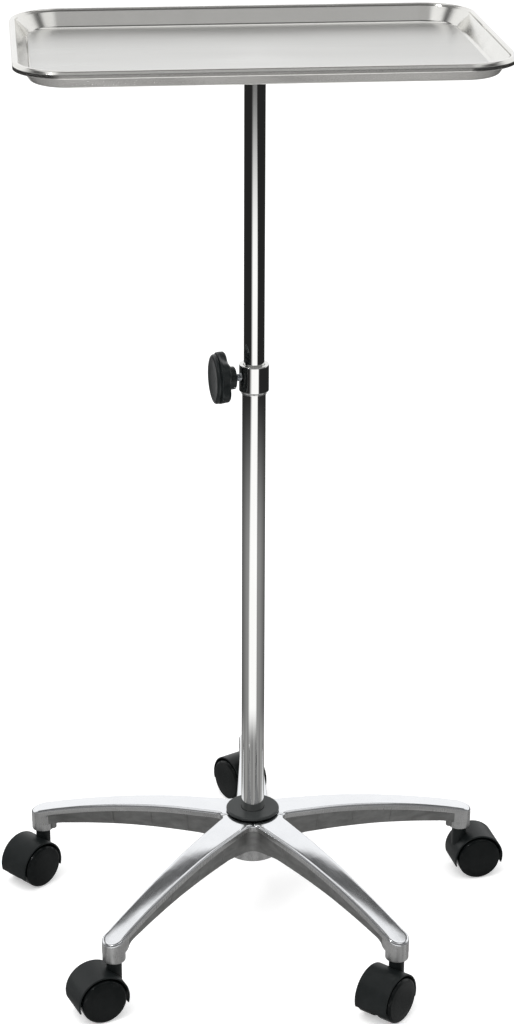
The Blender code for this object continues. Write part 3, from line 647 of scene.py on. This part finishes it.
def edge_distance(reach, off, half):
    """Distance inwards from the outline of the leg."""
    if reach < NOTCH_END:
        inside = (Vector((reach, off)) - NOTCH_AT).length - NOTCH_R
    elif reach > BOSS_REACH:
        inside = LEG_END_R - hypot(reach - BOSS_REACH, off)
    else:
        inside = half - off
    return max(0.0, inside)


def top_height(reach, off, half):
    inside = edge_distance(reach, off, half)
    z = curve(LEG_TOP, reach)
    if reach > NOTCH_END:
        ease = limit((reach - 0.034) / 0.03)
        fade = limit((BOSS_REACH + LEG_END_R - reach) / 0.02)
        share = min(1.0, off / max(1e-6, half - EDGE_R))
        z += CROWN * ease * fade * (1 - share * share)
    if inside < EDGE_R:
        z -= EDGE_R - sqrt(max(0.0, EDGE_R ** 2 - (EDGE_R - inside) ** 2))
    return z


def recess(reach):
    return RECESS * limit((BOSS_REACH - 0.010 - reach) / 0.006)


def batter(reach):
    return BATTER * limit((reach - 0.034) / 0.024) * limit((BOSS_REACH - 0.008 - reach) / 0.016)


def offsets(columns, half):
    start = max(0.35, 1 - EDGE_R / half) if half > 1e-6 else 0.8
    return [half * (start * c if c <= 1 else start + (1 - start) * (c - 1)) for c in columns]


def wall_points(reach, half, normal, dent):
    """Down the side of a leg: lip, undercut, then the leaning wall."""
    lip_top = curve(LEG_TOP, reach) - EDGE_R
    foot = curve(LEG_BOTTOM, reach)
    base = lip_top - LIP
    step = recess(reach)
    slope = batter(reach)

    def inwards(depth, z):
        return reach - normal.x * depth, half - normal.y * depth, z

    wall = [inwards(0.0, lip_top), inwards(0.0, base + 0.0022), inwards(0.0, base + 0.0008),
            inwards(0.12 * step, base + 0.0003), inwards(0.4 * step, base)]
    for share in WALL_SHARES:
        depth = step + slope * share + (dent if 0.0 < share < 0.95 else 0.0)
        if share == 1.0:
            depth += FOOT_TUCK
        if share == 0.0 and step > 0.0004:
            depth -= 0.0003
        wall.append(inwards(depth, (base - 0.0004) * (1 - share) + foot * share))
    return wall


def leg_row(reach, half, normal, dent):
    """The points across half a leg at one station: top, wall (if it has one) and underside."""
    top = [(reach, off, top_height(reach, off, half)) for off in offsets(TOP_COLUMNS, half)]
    wall = []
    if normal:
        top[-1] = (reach, half, curve(LEG_TOP, reach) - EDGE_R)
        wall = wall_points(reach, half, normal, dent)
    foot = curve(LEG_BOTTOM, reach)
    tuck = recess(reach) + batter(reach) + FOOT_TUCK
    bottom = []
    for off in offsets(UNDER_COLUMNS, half):
        share = off / half if half > 1e-6 else 0.0
        if normal:
            lean = normal.x if reach > BOSS_REACH else normal.x * share
            bottom.append((reach - tuck * lean, off - tuck * (normal.y * share), foot))
        else:
            bottom.append((reach - tuck * SPLIT_WAY.x * reach / NOTCH_START * share,
                           off - tuck * SPLIT_WAY.y * reach / NOTCH_START * share, foot))
    return top, wall, bottom


def star_mesh():
    draft = bmesh.new()

    def placed(points, swing, side):
        made = []
        for reach, off, z in points:
            spot = swing @ Vector((reach, side * off))
            made.append(draft.verts.new((spot.x, spot.y, z - DATUM)))
        return made

    outline = [leg_row(*station) for station in leg_stations()]
    for leg in range(5):
        swing = Matrix.Rotation(FIRST_LEG + radians(LEG_STEP * leg), 2)
        for side in (1, -1):
            rows = [[placed(line, swing, side) for line in row] for row in outline]
            for (top0, wall0, bottom0), (top1, wall1, bottom1) in zip(rows, rows[1:]):
                for one, two in ((top0, top1), (bottom0, bottom1), (wall0, wall1)):
                    for j in range(len(one) - 1):
                        draft.faces.new((one[j], one[j + 1], two[j + 1], two[j]))
    return close(draft, "star")


LEG_FRAMES = [turn(FIRST_LEG + radians(LEG_STEP * leg), "Z") for leg in range(5)]


def pocket(start, end, steps=8):
    """Hollow between two ribs with rounded upper corners, open below."""
    rings = []
    for k in range(steps + 1):
        reach = start + (end - start) * k / steps
        half = half_width(reach) - RECESS - batter(reach) - 0.0024
        roof = curve(LEG_TOP, reach) - 0.0062 - DATUM
        mouth = curve(LEG_BOTTOM, reach) - 0.004 - DATUM
        line = rounded([(-half, mouth), (-half + 0.0006, roof, 0.0018),
                        (half - 0.0006, roof, 0.0018), (half, mouth)], seg=4)
        rings.append([(reach, off, z) for off, z in line])
    return skin(rings, "pocket", caps=True)


def base_additions():
    """The hub's skirt and, on each leg, the caster boss and a small peg inside of it."""
    parts = [(lathe([(0, HUB_TOP), (HUB_R, HUB_TOP), (HUB_R, 0.0, 0.0014), (0.0150, 0.0),
                     (0, 0.0)], 96, seg=4), Matrix())]
    boss_top = 0.0780 - DATUM
    boss_foot = BOSS_HEIGHT - DATUM
    peg_top = 0.0790 - DATUM
    peg_foot = BOSS_HEIGHT + 0.0022 - DATUM
    for leg_frame in LEG_FRAMES:
        boss = lathe([(0, boss_top), (BOSS_R, boss_top), (BOSS_R, boss_foot, 0.0012),
                      (0.0060, boss_foot), (0, boss_foot)], 64, seg=4)
        peg = lathe([(0, peg_top), (0.0042, peg_top), (0.0042, peg_foot, 0.0008),
                     (0, peg_foot)], 32, seg=3)
        parts.append((boss, leg_frame @ move(BOSS_REACH)))
        parts.append((peg, leg_frame @ move(BOSS_REACH - 0.0125)))
    return parts


def base_cuts():
    """Pockets and stem bores of the legs, then the hub's bores and cored ring."""
    parts = []
    ends = [0.0360, *RIBS, 0.2290]
    for leg_frame in LEG_FRAMES:
        for start, end in zip(ends, ends[1:]):
            parts.append((pocket(start + 0.0012, end - 0.0012), leg_frame))
        parts.append((rod(STEM_BORE_R, 0.0800 - DATUM, BOSS_HEIGHT - 0.003 - DATUM, 48),
                      leg_frame @ move(BOSS_REACH)))
    parts += [(rod(HUB_BORE_R, 0.056, 0.0145, 64), Matrix()),
              (rod(0.0056, 0.026, -0.004, 48), Matrix()),
              (rod(HUB_BORE_R, 0.009, -0.004, 64), Matrix())]
    # cored ring between the hub's skirt and its centre boss
    for k in range(5):
        start = radians(LEG_STEP * k + 8)
        stop = radians(LEG_STEP * k + 64)
        line = arc(0.0172, start, stop, 10) + arc(0.0268, stop, start, 10)
        parts.append((drawn(line, -0.004, 0.0300), turn(FIRST_LEG, "Z")))
    return parts


def base_finish(poly):
    """Index of a face's finish: 0 polished top, 1 cast, 2 brushed lip, boss and hub. The lighter
    brushed tone and the darker cast tone of the walls below the lip are partly painted light and
    shade.
    """
    x, y, z = poly.center
    angle = (atan2(y, x) - FIRST_LEG + SPLIT) % radians(LEG_STEP) - SPLIT
    distance = hypot(x, y)
    reach = distance * cos(angle)
    off = abs(distance * sin(angle))
    below_top = curve(LEG_TOP, reach) - EDGE_R
    height = z + DATUM
    at_edge = edge_distance(reach, off, half_width(reach)) < 0.0007
    if height > below_top - 0.0001 and (poly.normal.z > 0.12 or at_edge):
        return 0
    on_lip = height > below_top - LIP - 0.0001 and at_edge
    on_boss = reach > BOSS_REACH - 0.0118
    on_hub = abs(distance - HUB_R) < 0.0009
    # lip, boss and hub take the lighter brushed tone as painted light; faces turned down keep the
    # darker cast tone as painted shade
    return 2 if poly.normal.z > -0.5 and (on_lip or on_boss or on_hub) else 1


def base_look():
    mesh = carve(star_mesh(), [("UNION", base_additions()), ("DIFFERENCE", base_cuts())],
                 "base_look")
    piece("base_casting", mesh, "polished", "base", sharp=34, extra=("cast_and_shade", "satin_lit"))
    for poly in mesh.polygons:
        poly.material_index = base_finish(poly)


base_look()

# ------------------------------------------------------- column, collar, clamp
TUBE_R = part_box("lower_tube")[1].x
MAST_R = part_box("upper_tube")[1].x
TUBE_WALL = 0.0012


def cover_disc_look():
    bottom, top = levels("column_cover_disc")
    bore = TUBE_R + 0.0003
    mesh = lathe([(bore, top - 0.0003), (TUBE_R + 0.0009, top, 0.0003), (0.0288, top, 0.0012),
                  (0.0296, top - 0.0012, 0.0006), (0.0296, bottom, 0.0004), (bore, bottom)],
                 128, seg=4, closed=True)
    piece("column_cover_disc", mesh, "cap", "base", name="cover_disc_look")


def tube_look(node, radius, body):
    bottom, top = levels(node)
    mesh = lathe([(radius - TUBE_WALL, top), (radius - 0.0011, top), (radius, top, 0.0004),
                  (radius, bottom, 0.0004), (radius - TUBE_WALL, bottom)],
                 128, seg=3, closed=True)
    piece(node, mesh, "chrome", body)


def collar_look():
    bottom, top = levels("collar")
    radius = 0.0160
    mesh = lathe([(0.0115, top - 0.0006), (0.0120, top - 0.0001, 0.0003),
                  (radius - 0.0003, top, 0.0006), (radius, top - 0.0012, 0.0005),
                  (radius, bottom + 0.0034, 0.0006), (radius - 0.0014, bottom + 0.0014, 0.0004),
                  (0.0140, bottom + 0.0012, 0.0002), (0.0140, bottom, 0.0003),
                  (0.0130, bottom), (0.0130, top - 0.0014), (0.0115, top - 0.0014)],
                 128, seg=4, closed=True)
    piece("collar", mesh, "chrome", "base")


def clamp_frame():
    """Z runs outwards from the column axis along the clamp screw."""
    axis = Vector(JOINT["knob_turn"]["axis"])
    height = JOINT["knob_turn"]["pos_m"][2]
    return move(z=height) @ turn(atan2(axis.y, axis.x), "Z") @ turn(pi / 2, "Y")


def knob_mesh():
    """A star grip: smooth round outer face, slightly dished, with a fine groove behind it;
    five full-thickness lobes; scallops that deepen towards the back; a round neck."""
    lobes, around = 5, 240
    line = rounded([(0.0001, 0.0439), (0.0120, 0.0441, 0.03), (0.0226, 0.0447, 0.006),
                    (0.0262, 0.0436, 0.0022), (0.0263, 0.0414, 0.0010), (0.0254, 0.0407, 0.0004),
                    (0.0254, 0.0401, 0.0003), (0.0280, 0.0397, 0.0010), (0.0285, 0.0372, 0.0018),
                    (0.0285, 0.0318, 0.0022), (0.0262, 0.0297, 0.0022), (0.0150, 0.0293, 0.0020),
                    (0.0124, 0.0281, 0.0014), (0.0120, 0.0214, 0.0010), (0.0108, 0.0206, 0.0006),
                    (0.0043, 0.0206), (0.0043, 0.0334), (0.0001, 0.0334)], seg=6)
    rings = []
    for radius, z in line:
        deep = 0.0
        if 0.0285 < z < 0.0402:
            outer = limit((radius - 0.0135) / 0.0115)
            back = limit((0.0404 - z) / 0.0070)
            deep = outer * (0.055 + 0.150 * back * back * (3 - 2 * back))
        ring = []
        for k in range(around):
            angle = 2 * pi * k / around
            dip = (0.5 - 0.5 * cos(lobes * (angle - radians(54)))) ** 1.25
            ring.append((*on_circle(radius * (1 - deep * dip), angle), z))
        rings.append(ring)
    rings[0] = [(0, 0, line[0][1])]
    rings[-1] = [(0, 0, line[-1][1])]
    return skin(rings, "knob")


def clamp_looks():
    place = clamp_frame()
    screw = thread(radius=0.0040, start=0.0139, end=0.0330, pitch=0.00125, depth=0.00065,
                   name="screw")
    piece("clamp_screw", screw, "zinc", "clamp_knob", place, sharp=50)
    shoe = lathe([(0, 0.0136), (0.0037, 0.0136, 0.0005), (0.0037, 0.01135, 0.0005),
                  (0, 0.01135)], 48, seg=3)
    piece("clamp_shoe", shoe, "nylon", "clamp_shoe", place)
    piece("clamp_knob", knob_mesh(), "knob", "clamp_knob", place, sharp=40)


cover_disc_look()
tube_look("lower_tube", TUBE_R, "base")
collar_look()
clamp_looks()
tube_look("upper_tube", MAST_R, "mast")


# ------------------------------------------------------------- tray socket, plate
def tray_socket_look():
    bottom, top = levels("tray_socket")
    bore = MAST_R + 0.0003
    mesh = lathe([(0, top), (0.0190, top, 0.0006), (0.0190, top - 0.0036, 0.0008),
                  (0.0166, top - 0.0064, 0.0020), (0.0162, bottom + 0.0012, 0.0008),
                  (0.0154, bottom, 0.0004), (bore, bottom), (bore, top - 0.0026),
                  (0, top - 0.0026)], 96, seg=4)
    piece("tray_socket", mesh, "zinc", "mast")


def grub_screw_look():
    """A set screw along +Y with a hexagonal socket in its outer end."""
    mesh = carve(thread(radius=0.0030, start=0.0114, end=0.0160, pitch=0.0010, depth=0.0004,
                        name="grub"),
                 [("DIFFERENCE", drawn(hexagon(0.00165), 0.0135, 0.0175))], "grub")
    place = move(z=centre_of("socket_grub_screw").z) @ turn(pi / 2, "Z") @ turn(pi / 2, "Y")
    piece("socket_grub_screw", mesh, "zinc", "mast", place, sharp=45)


def plate_looks():
    """The support plate, then a grommet and a stud at each of its four holes."""
    lowest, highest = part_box("tray_support_plate")
    under, over = lowest.z, highest.z
    x, y, corner = highest.x, highest.y, 0.014
    words = ("front_left", "front_right", "back_left", "back_right")
    studs = {word: centre_of("tray_stud_" + word) for word in words}
    holes = [(rod(0.0053, 0.01, -0.01, 48), move(spot.x, spot.y, under))
             for spot in studs.values()]
    outline = rounded([(x, y, corner), (-x, y, corner), (-x, -y, corner), (x, -y, corner)],
                      closed=True, seg=12)
    plate = carve(drawn(outline, under, over, edge=0.0005), [("DIFFERENCE", holes)], "plate")
    piece("tray_support_plate", plate, "zinc", "mast")
    for word, spot in studs.items():
        place = move(spot.x, spot.y, 0)
        grommet = lathe([(0.0034, over + 0.0015), (0.0074, over + 0.0015, 0.0006),
                         (0.0074, over + 0.0003, 0.0003), (0.0050, over + 0.0003, 0.0001),
                         (0.0050, under - 0.0003, 0.0001), (0.0068, under - 0.0003, 0.0003),
                         (0.0063, under - 0.0018, 0.0005), (0.0034, under - 0.0018)],
                        48, seg=3, closed=True)
        piece("tray_grommet_" + word, grommet, "rubber", "mast", place)
        bottom, top = levels("tray_stud_" + word)
        stud = lathe([(0, top), (0.0030, top, 0.0002), (0.0030, bottom, 0.0016), (0, bottom)],
                     48, seg=6)
        piece("tray_stud_" + word, stud, "stainless", "tray", place)


tray_socket_look()
grub_screw_look()
plate_looks()


# ------------------------------------------------------------------------- tray
def face_up(mesh, top):
    """Turns the whole skin over if the middle of the tray floor faces down."""
    draft = bmesh.new()
    draft.from_mesh(mesh)

    def nearness(face):
        centre = face.calc_center_median()
        return centre.length_squared if centre.z < top - 0.01 else 9

    if min(draft.faces, key=nearness).normal.z < 0:
        bmesh.ops.reverse_faces(draft, faces=draft.faces)
    draft.to_mesh(mesh)
    draft.free()


def tray_look():
    """A pressed pan: flat floor, radiused sloping wall, rolled rim and a folded hem."""
    lowest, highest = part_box("tray")
    top = highest.z
    sheet = 0.0010
    corner = 0.055  # outer corner radius in plan
    floor_z = sheet - (top - lowest.z)  # floor's upper face below the rim
    # (inset from the outer edge, height below the rim, corner radius)
    line = rounded([(0.0240, floor_z), (0.0176, floor_z, 0.0055), (0.0071, -0.0030, 0.0016),
                    (0.0060, 0.0, 0.0026), (0.0020, 0.0, 0.0026), (0.0, -0.0034, 0.0014),
                    (0.0, -0.0076, 0.00108), (0.0022, -0.0076, 0.00108), (0.0022, -0.0038)],
                   seg=8)
    steps = 28
    rings = []
    for inset, z in line:
        ring = []
        for way_x, way_y, first in ((1, 1, 0), (-1, 1, 90), (-1, -1, 180), (1, -1, 270)):
            for k in range(steps + 1):
                x, y = on_circle(corner - inset, radians(first + 90 * k / steps))
                ring.append((way_x * (highest.x - corner) + x, way_y * (highest.y - corner) + y,
                             top + z))
        rings.append(ring)
    floor_rings = [[(0, 0, rings[0][0][2])]]
    floor_rings += [[(x * share, y * share, z) for x, y, z in rings[0]]
                    for share in (0.3, 0.6, 0.86)]
    mesh = skin(floor_rings + rings, "tray")
    face_up(mesh, top)
    obj = piece("tray", mesh, "stainless", "tray", sharp=40, extra=("bright",))
    for poly in mesh.polygons:
        poly.material_index = 1 if poly.center.z > top + floor_z + 0.0004 else 0
    thick = obj.modifiers.new("sheet", "SOLIDIFY")
    thick.thickness = sheet
    thick.offset = -1.0
    thick.use_even_offset = True


tray_look()

# ---------------------------------------------------------------------- casters
# Each caster's axes: X along the trail from the swivel axis, Y along the axle, Z up, the
# axle at (TRAIL, 0, 0).
TRAIL = 0.0194
WHEEL_R = 0.0250
HOOD_R = 0.0290
HOOD_HALF = 0.0200  # half its width
HOOD_WALL = 0.0018
AXLE_HOLE_R = 0.0033


def hood_shell():
    """The curved cover round the wheels, narrowed over two steps at each end."""
    steps = 88
    inner = HOOD_R - HOOD_WALL
    middle = HOOD_R - HOOD_WALL / 2
    section = rounded([(HOOD_R, HOOD_HALF, 0.0008), (inner, HOOD_HALF, 0.0006),
                       (inner, -HOOD_HALF, 0.0006), (HOOD_R, -HOOD_HALF, 0.0008)],
                      closed=True, seg=4)
    rings = []
    for k in range(-2, steps + 3):
        over = max(-k, k - steps, 0)
        shrink = (1.0, 0.78, 0.35)[over]
        angle = radians(-16 + 211 * min(max(k, 0), steps) / steps)
        angle += (-1 if k < 0 else 1) * radians(0.7 * over)
        rings.append([(*on_circle(middle + (radius - middle) * shrink, angle),
                       y * (1 - (1 - shrink) * 0.03)) for radius, y in section])
    return skin(rings, "shell", caps=True)


def hood_mesh():
    """Shell, middle web and neck, cut clear of both wheels, the stem and the axle."""
    stand = move(TRAIL) @ turn(pi / 2, "X")
    shell = hood_shell()
    shell.transform(stand)
    line = [on_circle(HOOD_R - 0.0009, radians(angle)) for angle in range(-14, 194, 3)]
    web = drawn(line + [(-0.0075, -0.0085), (0.0075, -0.0085)], -0.0034, 0.0034)
    web.transform(stand)
    top = BOSS_HEIGHT - DATUM + HUB_HEIGHT - 0.0003 - WHEEL_R
    neck = lathe([(0, top), (0.0082, top, 0.0007), (0.0082, 0.0120, 0.001), (0.0050, 0.0100),
                  (0, 0.0100)], 72, seg=4)
    cuts = []
    for side in (-1, 1):
        space = rod(0.0261, 0.0200, 0.0, 96)
        space.transform(move(TRAIL, 0.0036 * side) @ turn(-pi / 2 * side, "X"))
        cuts.append((space, Matrix()))
    hole = rod(AXLE_HOLE_R, 0.01, -0.01, 32)
    hole.transform(stand)
    cuts += [(rod(STEM_BORE_R, top + 0.002, 0.0200, 48), Matrix()), (hole, Matrix())]
    return carve(shell, [("UNION", [(web, Matrix()), (neck, Matrix())]), ("DIFFERENCE", cuts)],
                 "hood")


def wheel_mesh():
    """Turned about the axle, with the middle of the caster at z = 0."""
    return lathe([(0, 0.0228), (0.0160, 0.02275, 0.03), (0.0226, 0.0224, 0.0010),
                  (0.0243, 0.0211, 0.0012), (WHEEL_R, 0.0196, 0.0012), (WHEEL_R, 0.0046, 0.0008),
                  (0.0238, 0.0040, 0.0004), (0.0218, 0.0040), (0.0214, 0.0062, 0.0008),
                  (0.0092, 0.0062, 0.0008), (0.0088, 0.0040), (0.0034, 0.0040),
                  (0.0034, 0.0180), (0, 0.0180)], 128)


def axle_mesh():
    radius, half = 0.0030, 0.0176
    return lathe([(0, half), (radius, half, 0.0004), (radius, -half, 0.0004), (0, -half)],
                 32, seg=3)


def stem_mesh():
    """Heights are above the floor."""
    return lathe([(0, 0.0814), (0.0046, 0.0814, 0.0004), (0.0055, 0.0800, 0.0006),
                  (0.0055, 0.0462, 0.0004), (0.0047, 0.0453, 0.0003), (0, 0.0453)], 48, seg=3)


def caster_looks():
    hood, wheel, axle, stem = hood_mesh(), wheel_mesh(), axle_mesh(), stem_mesh()
    for word in ("back", "left", "front_left", "front_right", "right"):
        name = "caster_" + word
        swivel = JOINT[name + "_swivel"]["pos_m"]
        spin = JOINT[name + "_left_wheel_spin"]["pos_m"]
        heading = atan2(spin[1] - swivel[1], spin[0] - swivel[0])
        place = move(swivel[0], swivel[1], spin[2]) @ turn(heading, "Z")
        piece(name + "_hood", hood, "hood", name, place, sharp=38)
        piece(name + "_axle", axle, "zinc", name, place @ move(TRAIL) @ turn(pi / 2, "X"))
        piece(name + "_stem", stem, "zinc", "base", move(swivel[0], swivel[1], -HUB_HEIGHT))
        for which, sign in (("left", 1), ("right", -1)):
            node = "%s_wheel_%s" % (name, which)
            piece(node, wheel, "wheel", node,
                  place @ move(TRAIL) @ turn(-pi / 2 * sign, "X"))


caster_looks()


# ------------------------------------------------------------- hidden hardware
def bolt_look():
    """A hexagon bolt, head down, with the head's lower corners chamfered."""
    head = drawn(hexagon(0.00981), 0.0, 0.0064)
    crown = lathe([(0, 0.0070), (0.0106, 0.0070), (0.0106, 0.0010), (0.0084, 0.0), (0, 0.0)], 64)
    shank = thread(radius=0.0050, start=0.0050, end=levels("base_bolt")[1], pitch=0.0015,
                   depth=0.0007, name="shank")
    piece("base_bolt", carve(head, [("INTERSECT", crown), ("UNION", shank)], "bolt"),
          "zinc", "base", sharp=28)


def washer_look():
    bottom, top = levels("base_bolt_washer")
    mesh = lathe([(0.0054, top), (0.0105, top, 0.0003), (0.0105, bottom, 0.0003),
                  (0.0054, bottom)], 64, seg=3, closed=True)
    piece("base_bolt_washer", mesh, "zinc", "base")


bolt_look()
washer_look()
# these keep their CAD shape and only take a material
for node, finish in (("lower_tube_plug", "zinc"), ("collar_bush", "nylon"),
                     ("upper_tube_glide", "nylon")):
    mesh = frame["nodes"][node].data
    mesh.materials.clear()
    mesh.materials.append(FINISH[finish][0])
    shade(mesh)

# ------------------------------------------------------- floor, light and camera
STUDIO_TURN = radians(-6.03)  # of the camera and its studio about Z
AIM = Vector((0, 0, 0.3))  # where the lights point


def studio_view(graph, vector):
    """Directions in the studio: x, y, z, the angle from the camera's side (0 towards the
    camera), its size, and a mask of the white backdrop behind."""
    turned = graph.node("VectorRotate", {"Angle": -STUDIO_TURN, "Vector": vector},
                        rotation_type="Z_AXIS")
    x, y, z = graph.node("SeparateXYZ", {0: turned.outputs[0]}).outputs
    angle = graph.calc("ARCTAN2", x, graph.times(y, -1.0))
    side = graph.calc("ABSOLUTE", angle)
    back = graph.sweep(side, span=(146, 164))
    return SimpleNamespace(x=x, y=y, z=z, angle=angle, side=side, back=back)


def light_below(graph, view, height):
    """Below the horizon: a strip in front, dark flags, the white backdrop behind."""
    sweep, times = graph.sweep, graph.times
    strip = times(sweep(view.angle, span=(-33, -27)),
                  sweep(view.angle, span=(40, 48), to=(1, 0)))
    return graph.most(times(strip, sweep(height, span=(-9, -15), to=(0.30, 1.0))), view.back)


def light_above(graph, view, height):
    sweep, times, add, most = graph.sweep, graph.times, graph.add, graph.most
    # behind: backdrop to about 40 degrees, a dark gap, then a softbox from about 52 degrees
    behind = sweep(view.side, span=(75, 115))
    wall = times(behind, sweep(height, span=(39, 44), to=(1.04, 0)))
    gap = times(sweep(height, span=(38, 44)), 0.085)
    box = times(behind, times(sweep(height, span=(49.4, 53.6)),
                              sweep(height, span=(80, 73), to=(0.05, 1.0))))
    # in front: dim, with a soft panel high up, brighter at its two ends
    ahead = sweep(view.side, span=(120, 80))
    ends = add(sweep(view.angle, span=(-20, -38), to=(0.40, 1.0)),
               sweep(view.angle, span=(24, 42), to=(0.0, 0.45)))
    panel = times(times(sweep(height, span=(41, 47)), sweep(height, span=(68, 62))),
                  times(sweep(view.side, span=(86, 68)), ends))
    near_horizon = times(times(sweep(height, span=(3, 8)), sweep(height, span=(32, 24))), 0.20)
    dim = 0.040
    front = times(ahead, add(most(panel, near_horizon), dim))
    return most(most(wall, gap), most(box, front))


def studio_world():
    """Reflections see the studio, other light is even, and the camera sees white."""
    world = bpy.data.worlds.new("studio")
    bpy.context.scene.world = world
    world.use_nodes = True
    world.node_tree.nodes.clear()
    graph = Graph(world.node_tree)
    view = studio_view(graph, graph.node("TexCoord").outputs["Generated"])
    height = graph.calc("ARCSINE", view.z)
    above = graph.sweep(height, span=(-2, 2))
    both = graph.add(graph.times(light_above(graph, view, height), above),
                     graph.times(light_below(graph, view, height),
                                 graph.calc("SUBTRACT", 1.0, above)))
    gain, lift = 0.97, 0.035
    value = graph.add(graph.times(both, gain), lift)
    cool_tint = [graph.times(value, share) for share in (0.995, 1.0, 1.005)]
    mirror = graph.node("Background", {"Color": graph.colour(*cool_tint)})
    plain = graph.node("Background", {"Color": (1, 1, 1, 1), "Strength": 0.80})
    white = graph.node("Background", {"Color": (1, 1, 1, 1), "Strength": 1.0})
    path = graph.node("LightPath").outputs
    lit = graph.mix(path["Is Glossy Ray"], plain.outputs[0], mirror.outputs[0])
    seen = graph.mix(path["Is Camera Ray"], lit, white.outputs[0])
    graph.node("OutputWorld", {"Surface": seen})


def painted_floor_reflection(graph, view):
    """Painted light: the floor's brightness as seen in reflections, emitted as a pattern of lit
    aisle, grey floor and shade instead of being lit.
    """
    smooth, sweep, times, add = graph.smooth, graph.sweep, graph.times, graph.add
    reach = graph.length(view.x, view.y)
    # painted light: a pale aisle towards the camera, grey floor beside it closer in
    left = smooth(reach, span=(0.7, 2.0), to=(radians(-43), radians(-22)))
    right = smooth(reach, span=(2.2, 4.4), to=(radians(35), radians(22)))
    painted_aisle = times(sweep(graph.calc("SUBTRACT", view.angle, left), span=(-13, 11)),
                  sweep(graph.calc("SUBTRACT", view.angle, right), span=(5, -5)))
    painted_aisle = times(painted_aisle, smooth(reach, span=(2.5, 4.5), to=(1.2, 0.18)))
    painted_flank = times(smooth(reach, span=(1.85, 1.0)),
                  sweep(view.side, span=(150, 45), to=(0.08, 0.30)))
    lift = 0.022
    lit = add(graph.most(graph.most(painted_aisle, painted_flank), view.back), lift)
    # painted shade round the foot of the cart, with painted streaks
    near = smooth(reach, span=(0.54, 0.42))
    waves = [graph.calc("SINE", times(view.angle, count)) for count in (9.0, 23.0)]
    painted_shade_level, painted_streak_depth = 0.32, 0.07
    painted_streak = times(add(*waves), painted_streak_depth)
    return add(times(lit, graph.calc("SUBTRACT", 1.0, near)),
               times(near, add(painted_shade_level, painted_streak)))


def floor_material():
    """Pale and matt, lifted for the camera, with painted light in reflections: there it emits its
    own brightness pattern.
    """
    mat = bpy.data.materials.new("pale_floor")
    mat.use_nodes = True
    mat.node_tree.nodes.clear()
    graph = Graph(mat.node_tree)
    place = graph.node("TexCoord").outputs["Object"]
    value = painted_floor_reflection(graph, studio_view(graph, place))
    speck = graph.node("TexNoise", {"Scale": 3.0, "Vector": place}).outputs["Fac"]
    pale = graph.spread(speck, span=(0.0, 1.0), to=(0.945, 0.965))
    matt = graph.node("BsdfDiffuse", {"Color": graph.colour(pale, pale, pale)}).outputs[0]
    veil = graph.node("Emission", {"Strength": 0.38}).outputs[0]
    seen = graph.node("AddShader", {0: matt, 1: veil}).outputs[0]
    # the floor's painted brightness, emitted for reflections only
    mirror = graph.node("Emission", {"Color": graph.colour(value, value, value)}).outputs[0]
    path = graph.node("LightPath").outputs
    lit = graph.mix(path["Is Glossy Ray"], matt, mirror)
    graph.node("OutputMaterial", {"Surface": graph.mix(path["Is Camera Ray"], lit, seen)})
    return mat


def floor():
    draft = bmesh.new()
    bmesh.ops.create_circle(draft, cap_ends=True, segments=96, radius=30.0)
    mesh = bpy.data.meshes.new("floor")
    draft.to_mesh(mesh)
    draft.free()
    obj = bpy.data.objects.new("floor", mesh)
    bpy.context.scene.collection.objects.link(obj)
    obj.location = (0, 0, -HUB_HEIGHT - 0.0002)
    mesh.materials.append(floor_material())


def softbox(name, location, **settings):
    """An area light aimed at the cart and hidden from the camera."""
    light = bpy.data.lights.new(name, "AREA")
    for key, value in settings.items():
        setattr(light, key, value)
    obj = bpy.data.objects.new(name, light)
    bpy.context.scene.collection.objects.link(obj)
    obj.location = location
    obj.rotation_euler = (AIM - obj.location).to_track_quat("-Z", "Y").to_euler()
    obj.visible_camera = False
    return obj


def add_camera():
    camera = bpy.data.cameras.new("camera")
    camera.sensor_width = 36.0
    camera.lens = 87.890625
    camera.clip_start = 0.1
    camera.clip_end = 100
    obj = bpy.data.objects.new("camera", camera)
    bpy.context.scene.collection.objects.link(obj)
    pitch, roll, pan = radians(22.09), radians(0.22), radians(0.084)
    ahead = Vector((sin(pan) * cos(pitch), cos(pan) * cos(pitch), -sin(pitch)))
    level = Vector((cos(pan), -sin(pan), 0))
    above = level.cross(ahead)
    across = cos(roll) * level + sin(roll) * above
    upward = -sin(roll) * level + cos(roll) * above
    stance = Matrix((across, upward, -ahead)).transposed().to_4x4()
    obj.matrix_world = turn(STUDIO_TURN, "Z") @ move(0, -2.4828, 1.4190) @ stance
    bpy.context.scene.camera = obj


studio_world()
floor()
overhead = softbox("overhead_softbox", (-0.7, -0.6, 3.2),
                   shape="RECTANGLE", size=2.6, size_y=2.6, energy=42.0)
overhead.visible_glossy = False
softbox("front_softbox", Matrix.Rotation(STUDIO_TURN, 3, "Z") @ Vector((-1.5, -1.7, 2.5)),
        shape="DISK", size=0.30, energy=9.0)
add_camera()
bpy.context.scene.view_settings.view_transform = "Standard"

bpy.context.view_layer.update()
